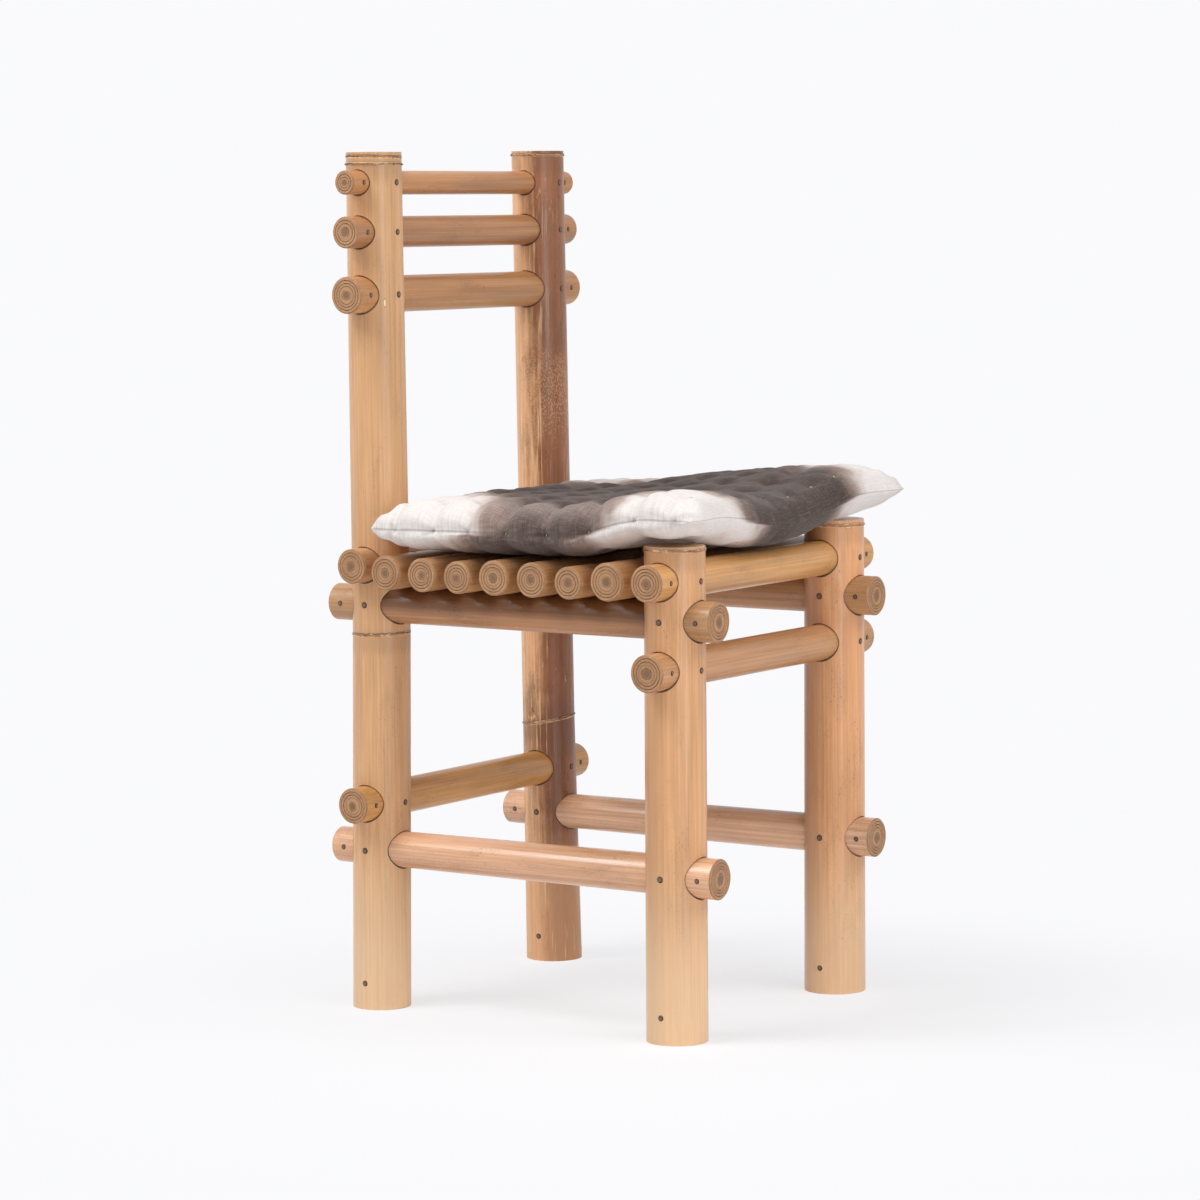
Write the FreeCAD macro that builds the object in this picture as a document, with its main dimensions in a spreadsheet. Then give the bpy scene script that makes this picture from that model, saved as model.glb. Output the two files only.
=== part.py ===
import FreeCAD, Part
import os
import Sketcher

# Bamboo chair: four hollow posts, round rails pegged through them, a seat of loose slats and a quilted pad.
# Frame: +Z up, origin on the floor midway between the posts. The sitter faces -Y, with the right hand at -X.
# All lengths are in millimetres. Slats are numbered from the back of the seat to the front.

SIZES = {
    # Plan of the four posts
    "post_spacing": 300.0,
    "slat_gap": 9.6,
    # Back posts: bamboo culms that lean a little from foot to knuckle to top
    "back_post_height": 841.0,
    "back_post_left_extra": 3.0,
    "back_post_right_foot_diameter": 57.6,
    "back_post_right_knuckle_diameter": 57.0,
    "back_post_right_top_diameter": 54.4,
    "back_post_right_foot_shift": -2.0,
    "back_post_right_knuckle_shift": 5.0,
    "back_post_right_top_shift": 1.5,
    "back_post_right_knuckle_height": 371.0,
    "back_post_right_knuckle_tilt": 1.5,
    "back_post_right_lip": 11.4,
    "back_post_right_cup_depth": 8.0,
    "back_post_left_foot_diameter": 58.2,
    "back_post_left_knuckle_diameter": 54.0,
    "back_post_left_top_diameter": 53.6,
    "back_post_left_foot_shift": 6.0,
    "back_post_left_knuckle_shift": -0.5,
    "back_post_left_top_shift": -12.5,
    "back_post_left_knuckle_height": 254.0,
    "back_post_left_knuckle_tilt": 9.6,
    "back_post_left_lip": 4.0,
    "back_post_left_cup_depth": 3.0,
    # Front posts: one straight length of culm each, cut just above a knuckle
    "front_post_right_foot_diameter": 59.2,
    "front_post_right_top_diameter": 58.0,
    "front_post_right_rise": 15.0,
    "front_post_right_lip": 3.4,
    "front_post_left_foot_diameter": 61.6,
    "front_post_left_top_diameter": 59.6,
    "front_post_left_rise": 20.0,
    "front_post_left_lip": 5.0,
    # Culm walls and knuckles
    "post_wall": 8.5,
    "knuckle_wall": 7.0,
    "knuckle_ring_thickness": 4.0,
    "knuckle_ring_proud": 0.8,
    # Rails that run from side to side
    "back_rail_top_drop": 29.4,
    "back_rail_top_diameter": 23.4,
    "back_rail_top_gap": 20.9,
    "back_rail_middle_diameter": 30.8,
    "back_rail_middle_gap": 27.2,
    "back_rail_bottom_diameter": 36.0,
    "seat_rail_back_diameter": 34.0,
    "seat_rail_back_gap": 4.6,
    "seat_rail_front_diameter": 35.0,
    "seat_rail_front_gap": 0.8,
    "front_lower_rail_diameter": 36.0,
    "front_lower_rail_gap": 8.6,
    "back_stretcher_diameter": 35.0,
    "back_stretcher_gap": 11.8,
    "rail_overhang": 19.7,
    # Rails that run from back to front, thicker at the front
    "side_seat_rail_height": 400.0,
    "side_seat_rail_back_diameter": 36.0,
    "side_seat_rail_front_diameter": 39.0,
    "side_stretcher_height": 157.7,
    "side_stretcher_back_diameter": 35.0,
    "side_stretcher_front_diameter": 39.0,
    "side_rail_overhang": 17.7,
    # Seat slats
    "slat_1_diameter": 33.8,
    "slat_2_diameter": 32.6,
    "slat_3_diameter": 31.5,
    "slat_4_diameter": 33.9,
    "slat_5_diameter": 33.4,
    "slat_6_diameter": 31.0,
    "slat_7_diameter": 36.3,
    "slat_overhang": 48.5,
    # Nested culms in rails and slats
    "culm_wall": 3.4,
    "liner_wall": 2.6,
    "inner_liner_wall": 2.4,
    "nest_gap": 0.35,
    "end_chamfer": 1.2,
    # Pegs and plugs
    "post_peg_diameter": 6.2,
    "end_peg_diameter": 5.0,
    "end_peg_offset": 5.0,
    "foot_peg_diameter": 5.6,
    "foot_peg_height": 26.0,
    "slat_peg_diameter": 6.0,
    "slat_peg_depth": 6.2,
    "peg_proud": 0.3,
    "plug_length": 48.0,
    "plug_recess": 1.5,
    # Clearances
    "rail_clearance": 0.6,
    "peg_clearance": 0.08,
    "plug_clearance": 0.2,
    "slat_clearance": 0.15,
    "slat_notch_clearance": 0.7,
    "cushion_clearance": 0.4,
    # Cushion
    "cushion_width": 396.0,
    "cushion_front_overhang": 44.0,
    "cushion_back_gap": 1.2,
    "cushion_crown": 29.0,
    "cushion_belly": 26.0,
    "cushion_front_belly": 22.0,
    "cushion_draw_in": 7.0,
    "cushion_edge_thickness": 5.0,
    "cushion_edge_bulge": 0.8,
    "cover_thickness": 1.2,
    "cover_gap": 0.3,
    "cover_seam_width": 4.0,
}

SLAT_COUNT = 7
CUSHION_CELLS = 9
TUFT_PULL = 0.36
QUILT_PULL = 0.12
CUT_MARGIN = 5.0

doc = FreeCAD.newDocument("bamboo_chair")
sheet = doc.addObject("Spreadsheet::Sheet", "Sizes")
for row, (alias, value) in enumerate(SIZES.items(), start=1):
    sheet.set(f"A{row}", alias)
    sheet.set(f"B{row}", str(value))
    sheet.setAlias(f"B{row}", alias)
doc.recompute()

# Ways of turning a piece that is made along Z
ALONG = {
    "X": FreeCAD.Rotation(FreeCAD.Vector(0, 1, 0), 90),
    "Y": FreeCAD.Rotation(FreeCAD.Vector(1, 0, 0), -90),
    "Z": FreeCAD.Rotation(),
}
# The back posts' knuckle rings rise towards this side of the post
TILT_AXIS = FreeCAD.Vector(-0.84, -0.545, 0)

nodes = {}


# Expressions: short strings that name cells of the sheet

def size(alias):
    return f"Sizes.{alias}"


def half(alias):
    return f"(Sizes.{alias} / 2)"


def between(low, high, z_low, z_high, z):
    return f"({low} + ({high} - {low}) * ({z} - {z_low}) / ({z_high} - {z_low}))"


def bind(item, **expressions):
    paths = {"x": "Placement.Base.x", "y": "Placement.Base.y", "z": "Placement.Base.z"}
    for name, expression in expressions.items():
        item.setExpression(paths.get(name, name), expression)


def keep(label, item):
    item.Label = label
    nodes[label] = item
    return item


# Places: heights of the rails, plan of the posts and slats

HALF_SPACING = half("post_spacing")
SLAT_WIDTHS = " + ".join(size(f"slat_{n}_diameter") for n in range(1, SLAT_COUNT + 1))
HALF_DEPTH = (f"(({half('seat_rail_back_diameter')} + {half('seat_rail_front_diameter')}"
              f" + {SLAT_WIDTHS} + {SLAT_COUNT + 1} * {size('slat_gap')}) / 2)")

SIDE_Z = size("side_seat_rail_height")
LOW_Z = size("side_stretcher_height")
TOP_Z = f"({size('back_post_height')} - {size('back_rail_top_drop')})"
MIDDLE_Z = (f"({TOP_Z} - {half('back_rail_top_diameter')} - {size('back_rail_top_gap')}"
            f" - {half('back_rail_middle_diameter')})")
BOTTOM_Z = (f"({MIDDLE_Z} - {half('back_rail_middle_diameter')} - {size('back_rail_middle_gap')}"
            f" - {half('back_rail_bottom_diameter')})")
SEAT_BACK_Z = (f"({SIDE_Z} + {half('side_seat_rail_back_diameter')} + {size('seat_rail_back_gap')}"
               f" + {half('seat_rail_back_diameter')})")
SEAT_FRONT_Z = (f"({SIDE_Z} + {half('side_seat_rail_front_diameter')} + {size('seat_rail_front_gap')}"
                f" + {half('seat_rail_front_diameter')})")
FRONT_LOWER_Z = (f"({SIDE_Z} - {half('side_seat_rail_front_diameter')} - {size('front_lower_rail_gap')}"
                 f" - {half('front_lower_rail_diameter')})")
STRETCHER_Z = (f"({LOW_Z} + {half('side_stretcher_back_diameter')} + {size('back_stretcher_gap')}"
               f" + {half('back_stretcher_diameter')})")

RAIL_REACH = {end: f"({half(f'{end}_post_left_foot_diameter')} + {size('rail_overhang')})"
              for end in ("back", "front")}
SIDE_REACH = f"({HALF_DEPTH} + {half('front_post_left_foot_diameter')} + {size('side_rail_overhang')})"


def slat_y(number):
    before = " + ".join(size(f"slat_{n}_diameter") for n in range(1, number)) or "0"
    return (f"({HALF_DEPTH} - {half('seat_rail_back_diameter')} - {number} * {size('slat_gap')}"
            f" - ({before}) - {half(f'slat_{number}_diameter')})")


def side_rail_radius(y):
    return between(half("side_seat_rail_back_diameter"), half("side_seat_rail_front_diameter"),
                   SIDE_REACH, f"(-{SIDE_REACH})", y)


# Posts: centre and radius at any height, from the stations along the culm

def front_post_height(side):
    return f"({SEAT_FRONT_Z} + {half('seat_rail_front_diameter')} + {size(f'front_post_{side}_rise')})"


def back_post_height(side):
    extra = {"right": "0", "left": size("back_post_left_extra")}[side]
    return f"({size('back_post_height')} + {extra})"


class Post:
    """One post: its place in plan, and its stations from the floor up as (height, shift, radius)."""

    def __init__(self, end, side):
        self.name = f"{end}_post_{side}"
        self.x = {"right": f"(-{HALF_SPACING})", "left": HALF_SPACING}[side]
        self.y = {"back": HALF_DEPTH, "front": f"(-{HALF_DEPTH})"}[end]
        foot = ("0", "0", half(f"{self.name}_foot_diameter"))
        if end == "front":
            self.height = front_post_height(side)
            top = (self.height, "0", half(f"{self.name}_top_diameter"))
            self.stations = [foot, top]
            return
        self.height = back_post_height(side)
        levels = {"foot": "0", "knuckle": size(f"{self.name}_knuckle_height"), "top": self.height}
        self.stations = [(z, size(f"{self.name}_{level}_shift"), half(f"{self.name}_{level}_diameter"))
                         for level, z in levels.items()]

    def span(self, upper):
        return self.stations[-2:] if upper else self.stations[:2]

    def shift(self, z, upper=False):
        (z_low, low, _), (z_high, high, _) = self.span(upper)
        return between(low, high, z_low, z_high, z)

    def centre(self, z, upper=False):
        return f"({self.x} + {self.shift(z, upper)})"

    def radius(self, z, upper=False):
        (z_low, _, low), (z_high, _, high) = self.span(upper)
        return between(low, high, z_low, z_high, z)


POSTS = {f"{end}_{side}": Post(end, side) for end in ("back", "front") for side in ("right", "left")}


# Makers of single solids

def culm(name, stations, y):
    circles = []
    for number, (x, z, radius) in enumerate(stations):
        circle = doc.addObject("Part::Circle", f"{name}_circle_{number}")
        bind(circle, x=x, y=y, z=z, Radius=radius)
        circles.append(circle)
    loft = doc.addObject("Part::Loft", name)
    loft.Sections = circles
    loft.Solid = True
    loft.Ruled = True
    return loft


def rod(name, along, centre, radius, length):
    cylinder = doc.addObject("Part::Cylinder", name)
    cylinder.Placement = FreeCAD.Placement(FreeCAD.Vector(), ALONG[along])
    start = dict(zip("xyz", centre))
    key = along.lower()
    start[key] = f"({start[key]}) - ({length}) / 2"
    bind(cylinder, Radius=radius, Height=length, **start)
    return cylinder


def turned(name, corners):
    """A body turned about its own Z axis from a closed outline of (radius, height) corners."""
    body = doc.addObject("PartDesign::Body", name)
    sketch = body.newObject("Sketcher::SketchObject", f"{name}_outline")
    plane = next(item for item in body.Origin.OriginFeatures if item.Role == "XZ_Plane")
    sketch.AttachmentSupport = [(plane, "")]
    sketch.MapMode = "FlatFace"
    count = len(corners)
    rough = [FreeCAD.Vector(10 * (radius != "0") + number, 50 * number * (height != "0"), 0)
             for number, (radius, height) in enumerate(corners)]
    for number in range(count):
        sketch.addGeometry(Part.LineSegment(rough[number], rough[(number + 1) % count]))
    for number in range(count):
        sketch.addConstraint(Sketcher.Constraint("Coincident", number, 2, (number + 1) % count, 1))
    for number, (radius, height) in enumerate(corners):
        for kind, expression, axis in (("DistanceX", radius, -2), ("DistanceY", height, -1)):
            if expression == "0":
                sketch.addConstraint(Sketcher.Constraint("PointOnObject", number, 1, axis))
                continue
            rule = sketch.addConstraint(Sketcher.Constraint(kind, -1, 1, number, 1, 10.0 + number))
            sketch.setExpression(f"Constraints[{rule}]", expression)
    revolution = body.newObject("PartDesign::Revolution", f"{name}_turning")
    revolution.Profile = sketch
    revolution.ReferenceAxis = (sketch, ["V_Axis"])
    revolution.Angle = 360
    return body


def drilled(name, base, tools):
    if not tools:
        return base
    drills = doc.addObject("Part::Compound", f"{name}_drills")
    drills.Links = tools
    cut = doc.addObject("Part::Cut", f"{name}_drilled")
    cut.Base = base
    cut.Tool = drills
    return cut


def gathered(label, pieces):
    group = doc.addObject("Part::Compound", f"{label}_group")
    group.Links = pieces
    return keep(label, group)


# Pegs: each one with the hole that it fills, by the piece that it goes through

pegs = {"post_pegs": [], "end_pegs": [], "foot_pegs": [], "slat_pegs": []}
holes = {}


def peg(group, along, centre, length, through):
    name = f"{group}_{len(pegs[group]) + 1}"
    radius = half(f"{group[:-1]}_diameter")
    pegs[group].append(rod(name, along, centre, radius, length))
    hole_radius = f"{radius} + {size('peg_clearance')}"
    hole = rod(f"{name}_hole", along, centre, hole_radius, f"{length} + {CUT_MARGIN}")
    for piece in through:
        holes.setdefault(piece, []).append(hole)


# Rails: which way each runs, its line, its ends and the posts that it goes through

class Rail:
    """One rail or slat: a nest of culms along X or Y, between two ends, with a radius at each end."""

    def __init__(self, name, along, line, ends, radii, posts=(), upper=False, liners=1):
        self.name = name
        self.along = along
        self.line = line
        self.ends = ends
        self.radii = radii
        self.posts = posts
        self.upper = upper
        self.liners = liners


def cross_rail(name, end, z, upper=False):
    posts = [POSTS[f"{end}_right"], POSTS[f"{end}_left"]]
    ends = [f"({posts[0].centre(z, upper)} - {RAIL_REACH[end]})",
            f"({posts[1].centre(z, upper)} + {RAIL_REACH[end]})"]
    radius = half(f"{name}_diameter")
    return Rail(name, "X", (posts[0].y, z), ends, (radius, radius), posts, upper)


def side_rail(name, side, z):
    posts = [POSTS[f"front_{side}"], POSTS[f"back_{side}"]]
    radii = (half(f"{name}_front_diameter"), half(f"{name}_back_diameter"))
    ends = [f"(-{SIDE_REACH})", SIDE_REACH]
    return Rail(f"{name}_{side}", "Y", (posts[0].x, z), ends, radii, posts, liners=2)


def seat_slat(number):
    radius = half(f"slat_{number}_diameter")
    y = slat_y(number)
    z = f"({SIDE_Z} + {side_rail_radius(y)} + {size('slat_clearance')} + {radius})"
    reach = f"({HALF_SPACING} + {size('slat_overhang')})"
    return Rail(f"seat_slat_{number}", "X", (y, z), [f"(-{reach})", reach], (radius, radius))


CROSS_RAILS = [
    cross_rail("back_rail_top", "back", TOP_Z, upper=True),
    cross_rail("back_rail_middle", "back", MIDDLE_Z, upper=True),
    cross_rail("back_rail_bottom", "back", BOTTOM_Z, upper=True),
    cross_rail("seat_rail_back", "back", SEAT_BACK_Z, upper=True),
    cross_rail("seat_rail_front", "front", SEAT_FRONT_Z),
    cross_rail("front_lower_rail", "front", FRONT_LOWER_Z),
    cross_rail("back_stretcher", "back", STRETCHER_Z),
]
SIDE_RAILS = [side_rail(name, side, z)
              for name, z in (("side_seat_rail", SIDE_Z), ("side_stretcher", LOW_Z))
              for side in ("right", "left")]
SLATS = [seat_slat(number) for number in range(1, SLAT_COUNT + 1)]
LINER_GROUPS = {
    "back_rail_liners": CROSS_RAILS[:3],
    "cross_rail_liners": CROSS_RAILS[3:],
    "side_rail_liners": SIDE_RAILS,
    "seat_slat_liners": SLATS,
}


def peg_joint(rail, post, outward):
    """A peg through post and rail where they cross, and a smaller one through the rail end outside."""
    z = rail.line[1]
    upper = rail.upper or (rail.name.startswith("side_seat_rail") and len(post.stations) > 2)
    x = post.centre(z, upper)
    radius = post.radius(z, upper)
    length = f"2 * ({radius} + {size('peg_proud')})"
    step = f"{outward} * ({radius} + {size('end_peg_offset')})"
    end_radius = {-1: rail.radii[0], 1: rail.radii[1]}[outward]
    end_length = f"2 * ({end_radius} + {size('peg_proud')})"
    if rail.along == "X":
        peg("post_pegs", "Y", (x, post.y, z), length, [post.name, rail.name])
        peg("end_pegs", "Y", (f"{x} + {step}", post.y, z), end_length, [rail.name])
        return
    peg("post_pegs", "X", (x, post.y, z), length, [post.name, rail.name])
    peg("end_pegs", "X", (post.x, f"{post.y} + {step}", z), end_length, [rail.name])


for rail in CROSS_RAILS + SIDE_RAILS:
    for post, outward in zip(rail.posts, (-1, 1)):
        peg_joint(rail, post, outward)

for slat in SLATS:
    slat_line_y, slat_line_z = slat.line
    peg_top = f"({slat_line_z} + {slat.radii[0]})"
    peg_tip = f"({SIDE_Z} + {side_rail_radius(slat_line_y)} - {size('slat_peg_depth')})"
    for seat_rail in SIDE_RAILS[:2]:
        peg_middle = f"(({peg_top} + {peg_tip}) / 2)"
        peg("slat_pegs", "Z", (seat_rail.line[0], slat_line_y, peg_middle), f"({peg_top} - {peg_tip})",
            [slat.name, f"{seat_rail.name}_skin"])

# The first and last slats are notched where they pass the posts
for slat, end in ((SLATS[0], "back"), (SLATS[-1], "front")):
    for side in ("right", "left"):
        post = POSTS[f"{end}_{side}"]
        sleeve = [(f"{post.x} + {shift}", z, f"{radius} + {size('slat_notch_clearance')}")
                  for z, shift, radius in post.stations]
        holes[slat.name].append(culm(f"{slat.name}_notch_{side}", sleeve, post.y))

for post in POSTS.values():
    foot_z = size("foot_peg_height")
    peg("foot_pegs", "X", (post.centre(foot_z), post.y, foot_z),
        f"2 * ({post.radius(foot_z)} + {size('peg_proud')})", [post.name, f"{post.name}_plug"])


# Rails and slats: an outer culm, its liners and its core, all pegged together

def nest_layers(rail):
    """Outer and inner depth below the rail's surface of each nested piece, from the outside in."""
    walls = [size("culm_wall"), size("liner_wall"), size("inner_liner_wall")][:rail.liners + 1]
    depth = "0"
    layers = []
    for wall in walls:
        inner = f"({depth} + {wall})"
        layers.append((depth, inner))
        depth = f"({inner} + {size('nest_gap')})"
    layers.append((depth, None))
    return layers


def nested_piece(name, rail, outer, inner, extra_holes=()):
    length = f"({rail.ends[1]} - {rail.ends[0]})"
    start = f"({rail.radii[0]} - {outer})"
    end = f"({rail.radii[1]} - {outer})"
    chamfer = size("end_chamfer")
    skin = [(start, "0"), (end, length)]
    if outer == "0":
        skin = [(f"{start} - {chamfer}", "0"), (start, chamfer),
                (end, f"{length} - {chamfer}"), (f"{end} - {chamfer}", length)]
    bore = [("0", length), ("0", "0")]
    if inner is not None:
        bore = [(f"{rail.radii[1]} - {inner}", length), (f"{rail.radii[0]} - {inner}", "0")]
    body = turned(name, skin + bore)
    body.Placement = FreeCAD.Placement(FreeCAD.Vector(), ALONG[rail.along])
    across, z = rail.line
    if rail.along == "X":
        bind(body, x=rail.ends[0], y=across, z=z)
    else:
        bind(body, x=across, y=rail.ends[0], z=z)
    return drilled(name, body, holes[rail.name] + list(extra_holes))


liners = {}
inner_liners = []
for rail in CROSS_RAILS + SIDE_RAILS + SLATS:
    layers = nest_layers(rail)
    slat_holes = holes.get(f"{rail.name}_skin", [])
    keep(rail.name, nested_piece(rail.name, rail, *layers[0], slat_holes))
    liners[rail.name] = nested_piece(f"{rail.name}_liner", rail, *layers[1], slat_holes)
    if rail.liners == 2:
        inner_liners.append(nested_piece(f"{rail.name}_inner_liner", rail, *layers[2]))
    keep(f"{rail.name}_core", nested_piece(f"{rail.name}_core", rail, *layers[-1]))
gathered("side_rail_inner_liners", inner_liners)
for label, rails in LINER_GROUPS.items():
    gathered(label, [liners[rail.name] for rail in rails])


# Posts: a culm with its knuckle rings, hollow between the knuckle walls, drilled for the rails and pegs

def knuckle_ring(name, post, shift, z, radius, tilt):
    ring = doc.addObject("Part::Torus", name)
    ring.Placement = FreeCAD.Placement(FreeCAD.Vector(), FreeCAD.Rotation(TILT_AXIS, 1.0))
    thickness = half("knuckle_ring_thickness")
    ring.setExpression("Placement.Rotation.Angle", tilt)
    bind(ring, x=f"{post.x} + {shift}", y=post.y, z=z, Radius2=thickness,
         Radius1=f"{radius} - {thickness} + {size('knuckle_ring_proud')}")
    return ring


def hollow(name, post, low, high):
    """A hollow of the culm between two stations, each (shift, height, radius of the culm there)."""
    stations = [(f"{post.x} + {shift}", z, f"{radius} - {size('post_wall')}")
                for shift, z, radius in (low, high)]
    return culm(name, stations, post.y)


def rail_hole(rail, post, outward):
    across, z = rail.line
    radius = {-1: rail.radii[0], 1: rail.radii[1]}[outward]
    length = f"4 * {post.radius(z, rail.upper)}"
    centre = (post.centre(z, rail.upper), across, z) if rail.along == "X" else (across, post.y, z)
    hole_radius = f"{radius} + {size('rail_clearance')}"
    return rod(f"{post.name}_{rail.name}_hole", rail.along, centre, hole_radius, length)


def build_post(post):
    stations = [(f"{post.x} + {shift}", z, radius) for z, shift, radius in post.stations]
    wall = half("knuckle_wall")
    top_z, top_shift, top_radius = post.stations[-1]
    lip = size(f"{post.name}_lip")
    solids = [culm(f"{post.name}_culm", stations, post.y),
              knuckle_ring(f"{post.name}_top_ring", post, top_shift, f"{top_z} - {lip}", top_radius, "0")]
    floors = [(f"-{CUT_MARGIN}", *post.stations[0][1:])]
    ceilings = []
    if len(post.stations) > 2:
        knuckle_z, knuckle_shift, knuckle_radius = post.stations[1]
        solids.append(knuckle_ring(f"{post.name}_ring", post, knuckle_shift, knuckle_z, knuckle_radius,
                                   size(f"{post.name}_knuckle_tilt")))
        ceilings.append((f"{knuckle_z} - {wall}", knuckle_shift, knuckle_radius))
        floors.append((f"{knuckle_z} + {wall}", knuckle_shift, knuckle_radius))
    ceilings.append((f"{top_z} - {lip} - {wall}", top_shift, top_radius))
    if len(post.stations) > 2:
        floors.append((f"{top_z} - {size(f'{post.name}_cup_depth')}", top_shift, top_radius))
        ceilings.append((f"{top_z} + {CUT_MARGIN}", top_shift, top_radius))
    tools = []
    for number, (low, high) in enumerate(zip(floors, ceilings)):
        tools.append(hollow(f"{post.name}_hollow_{number}", post,
                            (low[1], low[0], low[2]), (high[1], high[0], high[2])))
    for rail in CROSS_RAILS + SIDE_RAILS:
        for owner, outward in zip(rail.posts, (-1, 1)):
            if owner is post:
                tools.append(rail_hole(rail, post, outward))
    whole = doc.addObject("Part::MultiFuse", f"{post.name}_whole")
    whole.Shapes = solids
    cutter = doc.addObject("Part::MultiFuse", f"{post.name}_cutter")
    cutter.Shapes = tools + holes[post.name]
    cut = doc.addObject("Part::Cut", f"{post.name}_cut")
    cut.Base = whole
    cut.Tool = cutter
    return keep(post.name, cut)


for post in POSTS.values():
    build_post(post)


# Feet: a plug in the hollow of each foot, held by its peg

def foot_plug(post):
    name = f"{post.name}_plug"
    stations = []
    for z in (size("plug_recess"), f"({size('plug_recess')} + {size('plug_length')})"):
        radius = f"{post.radius(z)} - {size('post_wall')} - {size('plug_clearance')}"
        stations.append((post.centre(z), z, radius))
    return drilled(name, culm(f"{name}_blank", stations, post.y), holes[name])


gathered("foot_plugs", [foot_plug(post) for post in POSTS.values()])
for label, pieces in pegs.items():
    gathered(label, pieces)
doc.recompute()


# Cushion: a quilted pad with pulled-in sides, laid on the slats and up over the front posts

def measure(alias):
    return float(sheet.get(alias))


def tight_box(label):
    return nodes[label].Shape.optimalBoundingBox(False, False)


def ease(low, high, position):
    """Goes smoothly from 0 at low to 1 at high."""
    share = min(max((position - low) / (high - low), 0.0), 1.0)
    return share * share * (3.0 - 2.0 * share)


def swell(share):
    """How full the pad is at a share of the way from its middle to its edge."""
    return max(1.0 - abs(share) ** 4, 0.0) ** 0.5


class Pad:
    """The pad's surface, drawn in by inset on every side."""

    def __init__(self, inset):
        front_posts = [tight_box("front_post_right"), tight_box("front_post_left")]
        back_posts = [tight_box("back_post_right"), tight_box("back_post_left")]
        slats = [tight_box(slat.name) for slat in SLATS]
        clearance = measure("cushion_clearance")
        self.inset = inset
        self.rim = inset * measure("cover_seam_width") / measure("cover_thickness")
        self.half_width = measure("cushion_width") / 2
        self.back = min(box.YMin for box in back_posts) - measure("cushion_back_gap")
        front_line = sum(box.Center.y for box in front_posts) / 2
        self.front = front_line - measure("cushion_front_overhang")
        self.rise_front = max(box.YMax for box in front_posts)
        self.rise_back = slats[4].YMin
        self.low_rest = max(box.ZMax for box in slats[:5]) + clearance
        self.high_rest = max(box.ZMax for box in front_posts) + clearance

    def rest(self, y):
        return self.low_rest + (self.high_rest - self.low_rest) * ease(self.rise_back, self.rise_front, y)

    def seam(self, y):
        low = self.low_rest + measure("cushion_belly")
        high = self.high_rest + measure("cushion_front_belly")
        return low + (high - low) * ease(self.rise_back, self.rise_front, y)

    def quilt(self, across_line, along_line):
        if across_line and along_line:
            return 1.0 - TUFT_PULL
        if across_line or along_line:
            return 1.0 - QUILT_PULL
        return 1.0

    def heights(self, share_x, share_y, y, on_line_x, on_line_y):
        seam = self.seam(y)
        if abs(share_y) >= 1.0:
            thickness = measure("cushion_edge_thickness") / 2 - self.inset
            if not on_line_x:
                thickness += measure("cushion_edge_bulge")
            return seam + thickness, seam - thickness
        full = swell(share_x) * swell(share_y) * self.quilt(on_line_x, on_line_y)
        top = seam + max(measure("cushion_crown") * full - self.inset, 0.2)
        bottom = seam - max(measure("cushion_belly") * full - self.inset, 0.2)
        return top, max(bottom, self.rest(y) + self.inset)

    def section(self, step):
        """The pad's closed outline across the seat, at a step of half a quilt cell from the back edge."""
        steps = 2 * CUSHION_CELLS
        share_y = 2.0 * step / steps - 1.0
        rim_y = {0: -self.rim, steps: self.rim}.get(step, 0.0)
        y = self.back + (self.front - self.back) * step / steps + rim_y
        width = self.half_width - measure("cushion_draw_in") * (1.0 - share_y ** 2)
        top = []
        bottom = []
        for column in range(steps + 1):
            share_x = 2.0 * column / steps - 1.0
            high, low = self.heights(share_x, share_y, y, column % 2 == 0, step % 2 == 0)
            x = share_x * width
            if column in (0, steps):
                thickness = measure("cushion_edge_thickness") / 2 - self.inset
                high = self.seam(y) + thickness
                low = self.seam(y) - thickness
                x -= share_x * self.rim
            top.append(FreeCAD.Vector(x, y, high))
            bottom.append(FreeCAD.Vector(x, y, low))
        edges = arc_chain(top)
        edges.append(Part.LineSegment(top[-1], bottom[-1]))
        edges += arc_chain(bottom[::-1])
        edges.append(Part.LineSegment(bottom[0], top[0]))
        return Part.Wire([edge.toShape() for edge in edges])

    def solid(self):
        sections = [self.section(step) for step in range(2 * CUSHION_CELLS + 1)]
        return Part.makeLoft(sections, True, True)


def arc_chain(points):
    """Arcs through each three points in turn, or lines where the three are in line."""
    pieces = []
    for start, middle, end in zip(points[0:-2:2], points[1:-1:2], points[2::2]):
        chord = end - start
        bulge = (middle - start).cross(chord).Length / chord.Length
        if bulge < 0.05:
            pieces.append(Part.LineSegment(start, end))
        else:
            pieces.append(Part.Arc(start, middle, end))
    return pieces


thickness = measure("cover_thickness")
cover = doc.addObject("Part::Feature", "cushion_cover_shape")
cover.Shape = Pad(0.0).solid().cut(Pad(thickness).solid())
cover.Placement = FreeCAD.Placement()
keep("cushion_cover", cover)
filling = doc.addObject("Part::Feature", "cushion_filling_shape")
filling.Shape = Pad(thickness + measure("cover_gap")).solid()
filling.Placement = FreeCAD.Placement()
keep("cushion_filling", filling)
doc.recompute()

for item in doc.Objects:
    if "Invalid" in item.State or "Error" in item.State:
        raise RuntimeError(f"{item.Name} failed: {item.State}")
for label, item in nodes.items():
    if item.Shape.isNull() or not item.Shape.isValid() or not item.Shape.Solids:
        raise RuntimeError(f"{label} has no valid solid")

os.makedirs("parts", exist_ok=True)
for label, item in nodes.items():
    item.Shape.exportStep(f"parts/{label}.step")
print(f"{len(nodes)} nodes, {sum(len(item.Shape.Solids) for item in nodes.values())} solids")
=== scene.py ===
import math
import random

import bpy
import numpy as np
from mathutils import Matrix, Vector


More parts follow.
